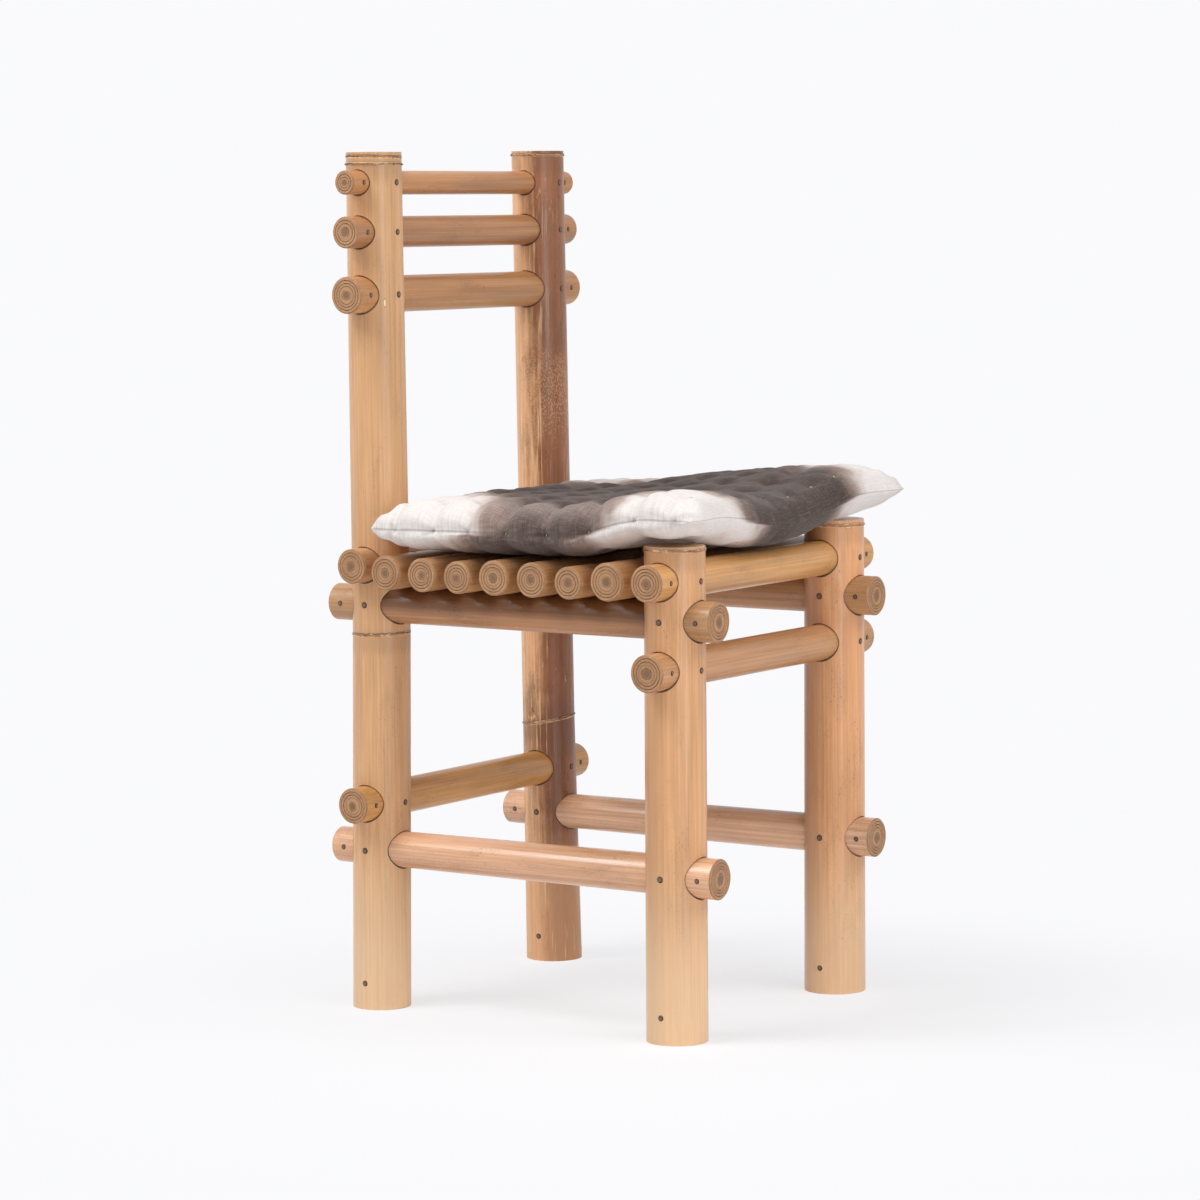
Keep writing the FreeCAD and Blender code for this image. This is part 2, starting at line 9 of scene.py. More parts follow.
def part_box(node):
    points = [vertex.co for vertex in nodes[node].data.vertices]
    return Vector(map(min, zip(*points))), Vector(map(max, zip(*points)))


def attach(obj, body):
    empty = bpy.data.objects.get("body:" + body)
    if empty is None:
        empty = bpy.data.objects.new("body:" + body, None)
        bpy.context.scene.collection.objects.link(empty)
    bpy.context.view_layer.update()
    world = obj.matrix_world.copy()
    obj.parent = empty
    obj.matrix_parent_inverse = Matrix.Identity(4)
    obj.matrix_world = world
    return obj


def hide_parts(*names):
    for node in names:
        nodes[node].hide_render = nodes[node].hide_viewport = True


# Bamboo chair with a quilted, dip-dyed seat pad. Lengths are in metres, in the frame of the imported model:
# +Z up, the sitter faces -Y, the sitter's right is -X, which is the side nearest to the camera.

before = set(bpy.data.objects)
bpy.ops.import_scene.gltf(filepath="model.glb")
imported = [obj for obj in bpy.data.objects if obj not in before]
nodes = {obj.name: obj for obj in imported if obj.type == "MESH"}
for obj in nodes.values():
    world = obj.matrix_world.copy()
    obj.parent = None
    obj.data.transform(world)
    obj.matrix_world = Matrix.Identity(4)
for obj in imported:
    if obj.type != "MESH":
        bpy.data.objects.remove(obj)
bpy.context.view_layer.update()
MM = 0.001


def add_object(name, data):
    item = bpy.data.objects.new(name, data)
    bpy.context.scene.collection.objects.link(item)
    return item


def centre_of(node):
    low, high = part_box(node)
    return (low + high) / 2


# Camera

CAMERA_TARGET = Vector((-0.01204, 0.00170, 0.39936))
CAMERA_DISTANCE = 4.0766
CAMERA_AZIMUTH = math.radians(-56.936)
CAMERA_PITCH = math.radians(5.458)
CAMERA_ROLL = math.radians(-0.438)
CAMERA_LENS = 123.68
SENSOR_WIDTH = 36.0
CAMERA_CLIP = 50.0

CAMERA_RIGHT = Vector((math.cos(CAMERA_AZIMUTH), math.sin(CAMERA_AZIMUTH), 0.0))
CAMERA_BACK = Vector((math.sin(CAMERA_AZIMUTH) * math.cos(CAMERA_PITCH),
                      -math.cos(CAMERA_AZIMUTH) * math.cos(CAMERA_PITCH),
                      math.sin(CAMERA_PITCH)))


def add_camera():
    up = CAMERA_BACK.cross(CAMERA_RIGHT)
    right = math.cos(CAMERA_ROLL) * CAMERA_RIGHT + math.sin(CAMERA_ROLL) * up
    up = CAMERA_BACK.cross(right)
    data = bpy.data.cameras.new("camera")
    data.lens = CAMERA_LENS
    data.sensor_width = SENSOR_WIDTH
    data.clip_end = CAMERA_CLIP
    place = Matrix((right, up, CAMERA_BACK)).transposed().to_4x4()
    place.translation = CAMERA_TARGET + CAMERA_DISTANCE * CAMERA_BACK
    camera = add_object("camera", data)
    camera.matrix_world = place
    bpy.context.scene.camera = camera


add_camera()


# Colours, shader nodes and meshes

DEEP_POWERS = (1.0, 1.12, 1.3)
UP = (0, 0, 1)


def tone(red, green, blue):
    """A colour given as it looks on a screen, from 0 to 255, as the linear values that shaders take."""
    linear = [((c / 255 + 0.055) / 1.055) ** 2.4 if c > 10 else c / 255 / 12.92 for c in (red, green, blue)]
    return (*linear, 1.0)


def scaled(colour, share):
    return (*(min(channel * share, 1.0) for channel in colour[:3]), 1.0)


def deepened(colour, share):
    """A darker and warmer shade of a colour."""
    return (*(channel * share ** power for channel, power in zip(colour, DEEP_POWERS)), 1.0)


class Nodes:
    """A node tree, with short calls for adding nodes to it."""

    def __init__(self, tree):
        self.tree = tree

    def feed(self, socket, value):
        if isinstance(value, bpy.types.NodeSocket):
            self.tree.links.new(value, socket)
        else:
            socket.default_value = value

    def node(self, kind, inputs=None, **settings):
        item = self.tree.nodes.new(f"ShaderNode{kind}")
        for key, value in settings.items():
            setattr(item, key, value)
        for key, value in (inputs or {}).items():
            self.feed(item.inputs[key], value)
        return item

    def math(self, operation, a, b=0.0, clamp=False):
        return self.node("Math", {0: a, 1: b}, operation=operation, use_clamp=clamp).outputs[0]

    def seen_directly(self):
        """1 for what the camera sees, straight or in a gloss."""
        path = self.node("LightPath")
        return self.math("MAXIMUM", path.outputs["Is Camera Ray"], path.outputs["Is Glossy Ray"])

    def glow_where(self, share, surface, glow, output):
        """Shows the glow in place of the surface, by a share."""
        blend = self.node("MixShader", {0: share, 1: surface.outputs[0], 2: glow.outputs[0]})
        self.feed(self.tree.nodes[output].inputs["Surface"], blend.outputs[0])


class Shader(Nodes):
    """A material's node tree, with short calls for the nodes that the finishes use."""

    def __init__(self, name):
        self.material = bpy.data.materials.new(name)
        self.material.use_nodes = True
        super().__init__(self.material.node_tree)
        self.surface = self.tree.nodes["Principled BSDF"]
        place = self.node("TexCoord")
        self.position = place.outputs["Object"]
        self.normal = place.outputs["Normal"]

    def product(self, first, *others):
        total = first
        for other in others:
            total = self.math("MULTIPLY", total, other, clamp=True)
        return total

    def vector(self, operation, a, b=(0, 0, 0)):
        item = self.node("VectorMath", {0: a, 1: b}, operation=operation)
        return item.outputs["Value" if operation in ("LENGTH", "DOT_PRODUCT") else "Vector"]

    def dot(self, value, direction):
        return self.vector("DOT_PRODUCT", value, tuple(direction))

    def length(self, value, weights):
        """The length of a vector whose parts are weighted."""
        return self.vector("LENGTH", self.vector("MULTIPLY", value, weights))

    def away_from(self, place):
        return self.vector("SUBTRACT", self.position, tuple(place))

    def ease(self, value, low, high, start=0.0, end=1.0):
        """Goes smoothly from start at low to end at high."""
        limits = {"Value": value, "From Min": low, "From Max": high, "To Min": start, "To Max": end}
        return self.node("MapRange", limits, interpolation_type="SMOOTHSTEP").outputs[0]

    def line(self, value, middle, core, fade, strength=1.0):
        """strength where value is within core of middle, fading to nothing at fade from it."""
        away = self.math("ABSOLUTE", self.math("SUBTRACT", value, middle))
        return self.ease(away, core, fade, strength, 0.0)

    def mix(self, factor, a, b):
        return self.node("Mix", {0: factor, 6: a, 7: b}, data_type="RGBA").outputs[2]

    def coated(self, colour, *coats):
        """A colour under coats, each given by what bounds it and by its own colour.

        A coat covers by the product of its bounds: shares, or values with the limits that they ease between.
        """
        for *bounds, coat in coats:
            shares = [self.ease(bound[0], *bound[1]) if isinstance(bound, tuple) else bound
                      for bound in bounds]
            colour = self.mix(self.product(*shares), colour, coat)
        return colour

    def noise(self, vector, scale, detail=2.0, roughness=0.5):
        """Noise from 0 to 1, with its own number of features per metre along each axis."""
        stretched = self.vector("MULTIPLY", vector, scale)
        inputs = {"Vector": stretched, "Scale": 1.0, "Detail": detail, "Roughness": roughness}
        return self.node("TexNoise", inputs).outputs[0]

    def noises(self, vector, *recipes):
        return [self.noise(vector, *recipe) for recipe in recipes]

    def weighted(self, start, *terms):
        """start plus the sum of value times weight, each value taken about its middle of 0.5."""
        total = start
        for value, weight in terms:
            part = self.math("MULTIPLY", self.math("SUBTRACT", value, 0.5), weight)
            total = self.math("ADD", total, part)
        return total

    def attribute(self, name, output="Fac"):
        return self.node("Attribute", attribute_name=name).outputs[output]

    def bump(self, height, distance, strength=1.0):
        inputs = {"Strength": strength, "Distance": distance, "Height": height}
        self.feed(self.surface.inputs["Normal"], self.node("Bump", inputs).outputs[0])

    def finish(self, **sockets):
        for name, value in sockets.items():
            self.feed(self.surface.inputs[name.replace("_", " ")], value)
        return self.material


def add_piece(name, points, faces, attributes=None):
    """A smooth mesh with values for its points."""
    data = bpy.data.meshes.new(name)
    data.from_pydata([tuple(point) for point in points], [], faces)
    data.update()
    data.shade_smooth()
    for key, values in (attributes or {}).items():
        values = np.asarray(values, dtype=np.float32)
        kind, field = ("FLOAT", "value") if values.ndim == 1 else ("FLOAT_VECTOR", "vector")
        layer = data.attributes.new(key, kind, "POINT")
        layer.data.foreach_set(field, values.ravel())
    return add_object(name, data)


def ring_angles(sides):
    return np.linspace(0, math.tau, sides, endpoint=False)


class Shell:
    """The points and faces of a piece that is put together from rings of points."""

    def __init__(self):
        self.points, self.faces = [], []

    def add_rings(self, rings, closed=False, flipped=False):
        """Quads over rings, each joined to the next, and the last to the first if closed.

        Gives the numbers of the points of the first ring and of the last one.
        """
        start, count, sides = len(self.points), len(rings), len(rings[0])
        self.points += [point for ring in rings for point in ring]
        numbers = [range(start + row * sides, start + (row + 1) * sides) for row in range(count)]
        for row in range(count if closed else count - 1):
            here, there = numbers[row], numbers[(row + 1) % count]
            for side in range(sides):
                after = (side + 1) % sides
                face = (here[side], here[after], there[after], there[side])
                self.faces.append(face[::-1] if flipped else face)
        return numbers[0], numbers[-1]

    def add_pole(self, ring, point):
        """Triangles from the points of a ring to one more point."""
        for side, number in enumerate(ring):
            self.faces.append((number, ring[(side + 1) % len(ring)], len(self.points)))
        self.points.append(point)

    def add_lid(self, ring):
        self.faces.append(tuple(ring))


def dress(node, material):
    data = nodes[node].data
    data.materials.clear()
    data.materials.append(material)


# Bamboo: a skin of lengthwise fibres, and rings where a culm is cut across.
# Each noise of the skin: the features per metre along the culm and across it, its detail and its roughness.

AXES = {"X": 0, "Y": 1, "Z": 2}
FIBRE = (8.0, 620.0, 3.0, 0.6)
STREAK = (4.0, 230.0, 3.0, 0.6)
CLOUD = (7.0, 32.0, 3.0, 0.5)
PATCH = (14.0, 46.0, 4.0, 0.65)
PIT = (330.0, 640.0, 2.0, 0.5)
SCUFF = (70.0, 430.0, 2.0, 0.5)
SEED_STEPS = (0.37, 0.73, 0.19)
FIGURE_WEIGHTS = (1.0, 0.9, 0.75)
FIGURE_SHADES = (0.68, 1.20)
# Where a noise begins to make a mark and where it makes it in full, then how strong the mark is at both.
STAINED_FROM = (0.50, 0.74, 0.0)
STAIN_SHADE = 0.55
PITS = (0.60, 0.70)
PITTED_FROM = (0.44, 0.66, 0.04)
PITS_BY_AGE = 1.6
PIT_SHADE = 0.36
SCUFFS = (0.68, 0.76)
SCUFFED_FROM = (0.50, 0.62, 0.0)
PALE_SCUFF = tone(232, 204, 170)
FIBRE_HEIGHTS = (0.7, 0.5)
FIBRE_RELIEF = (0.25 * MM, 0.6)
SKIN_ROUGHNESS = (0.3, 0.7, 0.28, 0.40)
BAMBOO_SHINE = 0.55
# How marked the fibres of a culm are, and how stained and scuffed its age has left it.
RAIL_LOOK = (0.9, 0.42)

CUT_NORMAL = 0.62
CUT_ROUGHNESS = 0.35
END_LIGHT = tone(194, 148, 107)
END_DARK = tone(138, 98, 67)
END_GAP = tone(54, 34, 24)
END_PITH = tone(118, 86, 62)
END_BLOTCH = ((70.0,) * 3, 2.0)
END_GRAIN = ((650.0,) * 3, 3.0, 0.65)
END_FIGURE = (1.2, 1.1, 0.7)
RINGS_PER_METRE = 640.0
RING_NOISE = ((1.0,) * 3, 1.0)
RING_SWAY = 2.4 * MM
CULM_JOINTS = (3.575 * MM, 6.525 * MM, 9.275 * MM)
CULM_JOINT_SWAY = 0.9 * MM
CULM_JOINT_WIDTHS = (0.10 * MM, 0.60 * MM)
CULM_JOINT_STRENGTHS = (0.3, 1.0)
WORN_JOINT = 0.35
WORN_FROM = (0.30, 0.62)
# The pith, in shares of the radius.
PITH_EDGE = 0.27
PITH_RAGGED = (0.20, 0.10)
PITH_FADE = (0.6 * PITH_EDGE, PITH_EDGE, 0.85, 0.0)
PITH_RIM = (0.38, 0.03, 0.10, 0.35)
PITH_CRACK = (PITH_EDGE, 0.0, 0.05)
PITH_CRACK_STRENGTHS = (0.3, 0.9)
TIP_LENGTH = 8 * MM


def along(axis, lengthwise, crosswise):
    """A vector with one value along the axis and another across it."""
    return tuple(lengthwise if index == AXES[axis] else crosswise for index in range(3))


def seeded_place(shader, seed):
    """Where a finish is read from, shifted so that no two culms look alike."""
    return shader.vector("ADD", shader.position, tuple(seed * step for step in SEED_STEPS))


def skin(shader, place, axis, base, figure, age):
    """The colour of the culm's outside, the height of its fibres and its gloss."""
    recipes = [(along(axis, lengthwise, crosswise), *texture)
               for lengthwise, crosswise, *texture in (FIBRE, STREAK, CLOUD, PATCH, PIT, SCUFF)]
    fine, streak, cloud, patch, pit, scuff = shader.noises(place, *recipes)
    weights = [weight * figure for weight in FIGURE_WEIGHTS]
    share = shader.weighted(0.5, *zip((fine, streak, cloud), weights))
    dark, light = FIGURE_SHADES
    colour = shader.coated(
        shader.mix(shader.ease(share, 0.0, 1.0), deepened(base, dark), scaled(base, light)),
        ((patch, (*STAINED_FROM, age)), scaled(base, STAIN_SHADE)),
        ((pit, PITS), (patch, (*PITTED_FROM, PITS_BY_AGE * age)), deepened(base, PIT_SHADE)),
        ((scuff, SCUFFS), (cloud, (*SCUFFED_FROM, age)), PALE_SCUFF))
    height = shader.weighted(0.5, *zip((fine, streak), FIBRE_HEIGHTS))
    return colour, height, shader.ease(cloud, *SKIN_ROUGHNESS)


def end_grain(shader, place, depth, radius_share, chance):
    """Rings across a cut end: uneven growth lines, dark joints between the nested culms and a pith."""
    blotch, grain = shader.noises(place, END_BLOTCH, END_GRAIN)
    bent = shader.weighted(depth, (blotch, RING_SWAY))
    count = shader.node("CombineXYZ", {"X": shader.math("MULTIPLY", bent, RINGS_PER_METRE)}).outputs[0]
    rings = shader.noise(count, *RING_NOISE)
    share = shader.weighted(0.5, *zip((rings, grain, blotch), END_FIGURE))
    ragged = shader.weighted(radius_share, *zip((blotch, grain), PITH_RAGGED))
    colour = shader.coated(
        shader.mix(shader.ease(share, 0.0, 1.0), END_DARK, END_LIGHT),
        (shader.line(ragged, *PITH_RIM), END_LIGHT),
        ((ragged, PITH_FADE), END_PITH),
        (shader.line(ragged, *PITH_CRACK, chance.uniform(*PITH_CRACK_STRENGTHS)), END_GAP))
    wavy = shader.weighted(depth, (blotch, CULM_JOINT_SWAY))
    for joint in CULM_JOINTS:
        strength = chance.uniform(*CULM_JOINT_STRENGTHS)
        worn = (*WORN_FROM, WORN_JOINT * strength, strength)
        seam = shader.line(wavy, joint, *CULM_JOINT_WIDTHS)
        colour = shader.coated(colour, (seam, (blotch, worn), END_GAP))
    return colour


def end_radius(node, axis, side):
    """The radius of a rail at its low end (side -1) or high end (side 1)."""
    points = np.array([vertex.co for vertex in nodes[node].data.vertices])
    middle = (points.min(axis=0) + points.max(axis=0)) / 2
    reach = (points[:, AXES[axis]] - middle[AXES[axis]]) * side
    tip = np.delete(points[reach > reach.max() - TIP_LENGTH] - middle, AXES[axis], axis=1)
    return float(np.linalg.norm(tip, axis=1).max())


def is_cut(shader, direction):
    """1 on the faces that lie across a direction, which are the cut ends."""
    facing = shader.math("ABSOLUTE", shader.dot(shader.normal, direction))
    return shader.math("GREATER_THAN", facing, CUT_NORMAL)


def rail_material(node, axis, base, seed):
    shader = Shader(f"bamboo_{node}")
    place = seeded_place(shader, seed)
    low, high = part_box(node)
    length = (high - low)[AXES[axis]]
    start = end_radius(node, axis, -1)
    slope = (end_radius(node, axis, 1) - start) / length
    colour, height, roughness = skin(shader, place, axis, base, *RAIL_LOOK)
    centred = shader.away_from(centre_of(node))
    across = shader.length(centred, along(axis, 0.0, 1.0))
    run = shader.dot(centred, along(axis, 1.0, 0.0))
    # Painted shade on the top half, and on the bottom back rail painted floor light on the lower half.
    if node in SHADED_AND_LIT_HALVES:
        top_tone, rise = SHADED_AND_LIT_HALVES[node]
        top_skin = skin(shader, place, axis, top_tone, *RAIL_LOOK)[0]
        level = shader.dot(centred, (0, 0, 1 / start))
        colour = shader.coated(colour, ((level, rise), top_skin))
    # Painted shade under the seat: the rail is darker between the posts than at its ends.
    if node in UNSHADED_ENDS:
        end_skin = skin(shader, place, axis, UNSHADED_ENDS[node], *RAIL_LOOK)[0]
        colour = shader.coated(colour, ((shader.math("ABSOLUTE", run), SEAT_SHADE_ENDS), end_skin))
    outer = shader.math("ADD", shader.math("MULTIPLY", run, slope), start + slope * length / 2)
    depth = shader.math("SUBTRACT", outer, across)
    rings = end_grain(shader, place, depth, shader.math("DIVIDE", across, outer), random.Random(seed))
    cut = is_cut(shader, along(axis, 1.0, 0.0))
    colour = shader.mix(cut, colour, rings)
    shader.bump(height, *FIBRE_RELIEF)
    if node in POLISHED:
        roughness = shader.math("SUBTRACT", roughness, POLISH)
    roughness = shader.math("ADD", roughness, shader.math("MULTIPLY", cut, CUT_ROUGHNESS))
    return shader.finish(Base_Color=colour, Roughness=roughness, Specular_IOR_Level=BAMBOO_SHINE)


CROSS_RAIL_TONES = {
    "back_rail_top": tone(193, 136, 88),
    "back_rail_middle": tone(188, 133, 88),
    # The bottom back rail's tone is paler for a painted reflection of the floor on its lower half.
    "back_rail_bottom": tone(219, 163, 111),
    "seat_rail_back": tone(212, 161, 114),
    "seat_rail_front": tone(213, 158, 99),
    "front_lower_rail": tone(197, 145, 101),
    "back_stretcher": tone(218, 162, 98),
}
SIDE_RAIL_TONES = {
    "side_seat_rail_right": tone(190, 136, 94),
    "side_seat_rail_left": tone(190, 142, 104),
    "side_stretcher_right": tone(227, 177, 141),
    "side_stretcher_left": tone(233, 187, 153),
}
# A darker top half, from painted shade: its tone, and where it sets in, from -1 at the bottom of the rail to
# 1 at its top.
# On the right side seat rail it is painted shade under the slat ends; the bottom back rail's paler lower
# half is a painted reflection of the floor.
SHADED_AND_LIT_HALVES = {
    "back_rail_bottom": (tone(192, 136, 87), (-0.75, -0.15)),
    "side_seat_rail_right": (tone(122, 78, 42), (-0.48, 0.20)),
}
POLISHED = ("side_stretcher_right", "side_stretcher_left")
POLISH = 0.13
# The side seat rails keep a darker tone between the posts as painted shade under the seat; their ends
# outside the posts take these paler tones.
UNSHADED_ENDS = {
    "side_seat_rail_right": tone(198, 151, 108),
    "side_seat_rail_left": tone(206, 158, 115),
}
SEAT_SHADE_ENDS = (160 * MM, 180 * MM)
SLAT_TONES = {f"seat_slat_{number}": tone(194, 145, 99) for number in range(1, 8)}
LINER_GROUPS = ("back_rail_liners", "cross_rail_liners", "side_rail_liners", "side_rail_inner_liners",
                "seat_slat_liners")
RAIL_TONES = {**CROSS_RAIL_TONES, **SIDE_RAIL_TONES, **SLAT_TONES}
RAIL_AXES = {rail: "Y" if rail in SIDE_RAIL_TONES else "X" for rail in RAIL_TONES}


def dress_rails():
    """Gives each rail and its core one material, and each liner of a group the material of its rail."""
    materials = {}
    for seed, (rail, base) in enumerate(RAIL_TONES.items(), start=1):
        materials[rail] = rail_material(rail, RAIL_AXES[rail], base, seed)
        dress(rail, materials[rail])
        dress(f"{rail}_core", materials[rail])
    for group in LINER_GROUPS:
        data = nodes[group].data
        data.materials.clear()
        axis = "Y" if group.startswith("side") else "X"
        rails = [rail for rail in RAIL_TONES if RAIL_AXES[rail] == axis]
        for rail in rails:
            data.materials.append(materials[rail])
        centres = np.array([centre_of(rail) for rail in rails])
        faces = np.array([face.center for face in data.polygons])
        apart = np.delete(faces[:, None, :] - centres[None, :, :], AXES[axis], axis=2)
        nearest = np.linalg.norm(apart, axis=2).argmin(axis=1)
        data.polygons.foreach_set("material_index", nearest.astype(np.int32))


dress_rails()


# Posts: each culm with its own tone, its knuckles and its scars

POST_X = 150 * MM
CULM_RADIUS = 28 * MM
OUTSIDE = 60 * MM
BACK_Y = centre_of("back_rail_top").y
FRONT_Y = centre_of("seat_rail_front").y


def compass(degrees):
    """The level direction at an angle from +X towards +Y."""
    turn = math.radians(degrees)
    return Vector((math.cos(turn), math.sin(turn), 0.0))


LEAN_TOWARDS = compass(123)


class Knuckle:
    """A ring round a culm: its centre, how far its plane leans and how far its scar stands out."""

    def __init__(self, x, y, z, lean=0.0, proud=0.8 * MM):
        self.centre = Vector((x, y, z))
        turn = math.radians(lean)
        self.normal = LEAN_TOWARDS * math.sin(turn) + Vector((0, 0, math.cos(turn)))
        self.proud = proud

    def height_at(self, direction):
        """The height of the ring's plane on the culm's side that faces the direction."""
        side = self.normal.dot(direction) / self.normal.z
        return self.centre.z - side * CULM_RADIUS


def below_top(post, drop):
    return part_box(post)[1].z - drop


KNUCKLES = {
    "back_post_right": [
        Knuckle(-POST_X + 5.0 * MM, BACK_Y, 371 * MM, 1.5),
        Knuckle(-POST_X + 1.5 * MM, BACK_Y, below_top("back_post_right", 11.4 * MM), 0.0, 1.2 * MM),
        Knuckle(-POST_X + 1.5 * MM, BACK_Y, below_top("back_post_right", 4.5 * MM), -1.5, 0.5 * MM),
    ],
    "back_post_left": [
        Knuckle(POST_X - 0.5 * MM, BACK_Y, 254 * MM, 9.6),
        Knuckle(POST_X - 12.5 * MM, BACK_Y, below_top("back_post_left", 4.0 * MM), 0.0, 0.6 * MM),
    ],
    "front_post_right": [
        Knuckle(-POST_X, FRONT_Y, below_top("front_post_right", 3.4 * MM), 0.0, 0.4 * MM),
    ],
    "front_post_left": [
        Knuckle(POST_X, FRONT_Y, below_top("front_post_left", 5.0 * MM), 0.0, 0.4 * MM),
    ],
}
POST_TONES = {
    "back_post_right": tone(220, 171, 124),
    "back_post_left": tone(155, 98, 62),
    "front_post_right": tone(225, 171, 123),
    "front_post_left": tone(230, 170, 121),
}
FIRST_POST_SEED = 31
POST_LOOKS = {"back_post_left": (1.0, 0.7), "front_post_left": (0.75, 0.35)}
USUAL_LOOK = (0.75, 0.22)
# A darker flank facing compass 130: a stain on the front right post, painted shade from the seat and rails
# on the front left post.
FLANK_STAINS_AND_SHADE = {"front_post_right": compass(130), "front_post_left": compass(130)}
FLANK_DARKENING = (0.3, 1.0, 0.0, 0.5)
FLANK_SHADE = 0.6
# Painted light from the floor: every post but the mottled one grows paler towards its foot.
FLOOR_BOUNCE_PALE = tone(252, 222, 182)
FLOOR_BOUNCE_FADE = (30 * MM, 200 * MM, 0.48, 0.0)
POST_GRAIN = ((420.0,) * 3, 3.0)
POST_CUT_PALE = tone(236, 208, 170)
POST_CUT_DARK = tone(176, 132, 96)

# The weathered post. Its noises have their features per metre along each axis, their detail and roughness.
MOTTLED = "back_post_left"
MOTTLED_PALE = tone(238, 184, 137)
SCRATCH_PALE = tone(232, 192, 148)
BLOTCH = ((48.0, 48.0, 20.0), 5.0, 0.7)
TEAR = ((330.0, 330.0, 9.0), 2.0)
FLECK = ((640.0, 640.0, 430.0), 3.0)
SCRATCH = ((460.0, 460.0, 20.0), 2.0)
WORN = ((25.0, 25.0, 12.0), 2.0)
BLOTCHED = (0.44, 0.72, 0.0, 0.55)
DARK_SKIN = 0.56
PALE_FLANK = compass(140)
PALE_LOOK = (1.0, 0.5)
FLANK_RAGGED = (1.1, 0.6)
FLANK_FADE = (0.25, 0.95, 0.0, 0.95)
HEIGHT_RAGGED = 100 * MM
MOTTLED_FOOT = (60 * MM, 160 * MM, 0.5, 0.0)
# Darker round its low knuckle: at which height, how far, and how strongly.
SLEEVE = (243 * MM, 15 * MM, 50 * MM, 0.45)
SLEEVE_SHADE = 0.4
FLECKS = (0.44, 0.66)
FLECKED = (595 * MM, 20 * MM, 70 * MM)
FLECK_STRENGTH = 0.42
SCRATCHES = (0.60, 0.70)
SCRATCHED = (0.42, 0.66)
TEARS = (0.58, 0.66)
TORN_BESIDE = (0.50, 0.15, 0.50, 0.8)
TORN_WHERE = (0.40, 0.55)

# Knuckles: bands above and below the ring's plane, each with its middle, its half width and where it ends.
TORN = ((190.0, 190.0, 40.0), 3.0)
TORN_RAGGED = 3.5 * MM
TORN_FIBRES = ((230.0, 230.0, 4.0), 3.0, 0.7)
FIBRES_RAGGED = 22 * MM
STAIN_BAND = (-7 * MM, 5 * MM, 17 * MM)
STAIN_BREAKS = (0.35, 0.65, 0.2, 0.55)
# The dark band is painted shade in the notch over the ring.
NOTCH_SHADE_BAND = (1.3 * MM, 0.3 * MM, 1.4 * MM)
NOTCH_SHADE_BREAKS = (0.36, 0.56, 0.3, 0.9)
NOTCH_SHADE_SHARE = 0.22
PALE_BAND = (-1.0 * MM, 0.4 * MM, 1.8 * MM)
PALE_BREAKS = (0.42, 0.60, 0.85, 0.0)
SCAR_DARK = tone(92, 60, 42)
SCAR_PALE = tone(232, 196, 152)

# Chips in the skin of a post: which way each faces, its height and its half sizes across and up.
CHIPS = {
    "back_post_right": (compass(236), 695 * MM, (1.1 * MM, 3.8 * MM)),
    "front_post_left": (compass(238), 469 * MM, (3.2 * MM, 1.7 * MM)),
}
CHIP_PALE = tone(240, 208, 168)
CHIP_RIM = (1.1, 0.0, 0.35, 0.6)
CHIP_FACE = (0.85, 1.1, 1.0, 0.0)
# Painted shadow of the gap round each rail where it goes through a post, set a little low.
JOINT_GAP_SHADOW = tone(40, 25, 18)
JOINT_DROP = 0.25 * MM
JOINT_LINE = (0.9 * MM, 1.6 * MM, 0.95, 0.0)
JOINT_STEEPEST = 0.05


def culm_surface(post, centre, direction, height):
    """The point of a post's outside at a height, on the side that the direction faces."""
    start = Vector((centre.x, centre.y, height)) + OUTSIDE * direction
    found, point, _, _ = nodes[post].ray_cast(start, -direction)
    return point if found else start - (OUTSIDE - CULM_RADIUS) * direction


def meets(post, rail):
    """True if the rail goes through the post."""
    (low, high), (rail_low, rail_high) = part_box(post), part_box(rail)
    if rail in SLAT_TONES:
        return False
    return all(rail_low[i] < high[i] and rail_high[i] > low[i] for i in range(3))


def joint_line(shader, post, rail):
    """A dark line on a post, evenly wide round the hole that a rail goes through: painted shadow of the gap
    round the rail.
    """
    low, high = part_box(rail)
    axis = RAIL_AXES[rail]
    run = (centre_of(post) - low)[AXES[axis]] / (high - low)[AXES[axis]]
    radius = (1 - run) * end_radius(rail, axis, -1) + run * end_radius(rail, axis, 1)
    middle = centre_of(rail) - Vector((0, 0, JOINT_DROP))
    spoke = shader.vector("MULTIPLY", shader.away_from(middle), along(axis, 0.0, 1.0))
    away = shader.math("SUBTRACT", shader.vector("LENGTH", spoke), radius)
    lean = shader.vector("DOT_PRODUCT", shader.normal, shader.vector("NORMALIZE", spoke))
    steep = shader.math("SUBTRACT", 1.0, shader.math("MULTIPLY", lean, lean))
    slope = shader.math("SQRT", shader.math("MAXIMUM", steep, JOINT_STEEPEST))
    return shader.ease(shader.math("DIVIDE", away, slope), *JOINT_LINE)


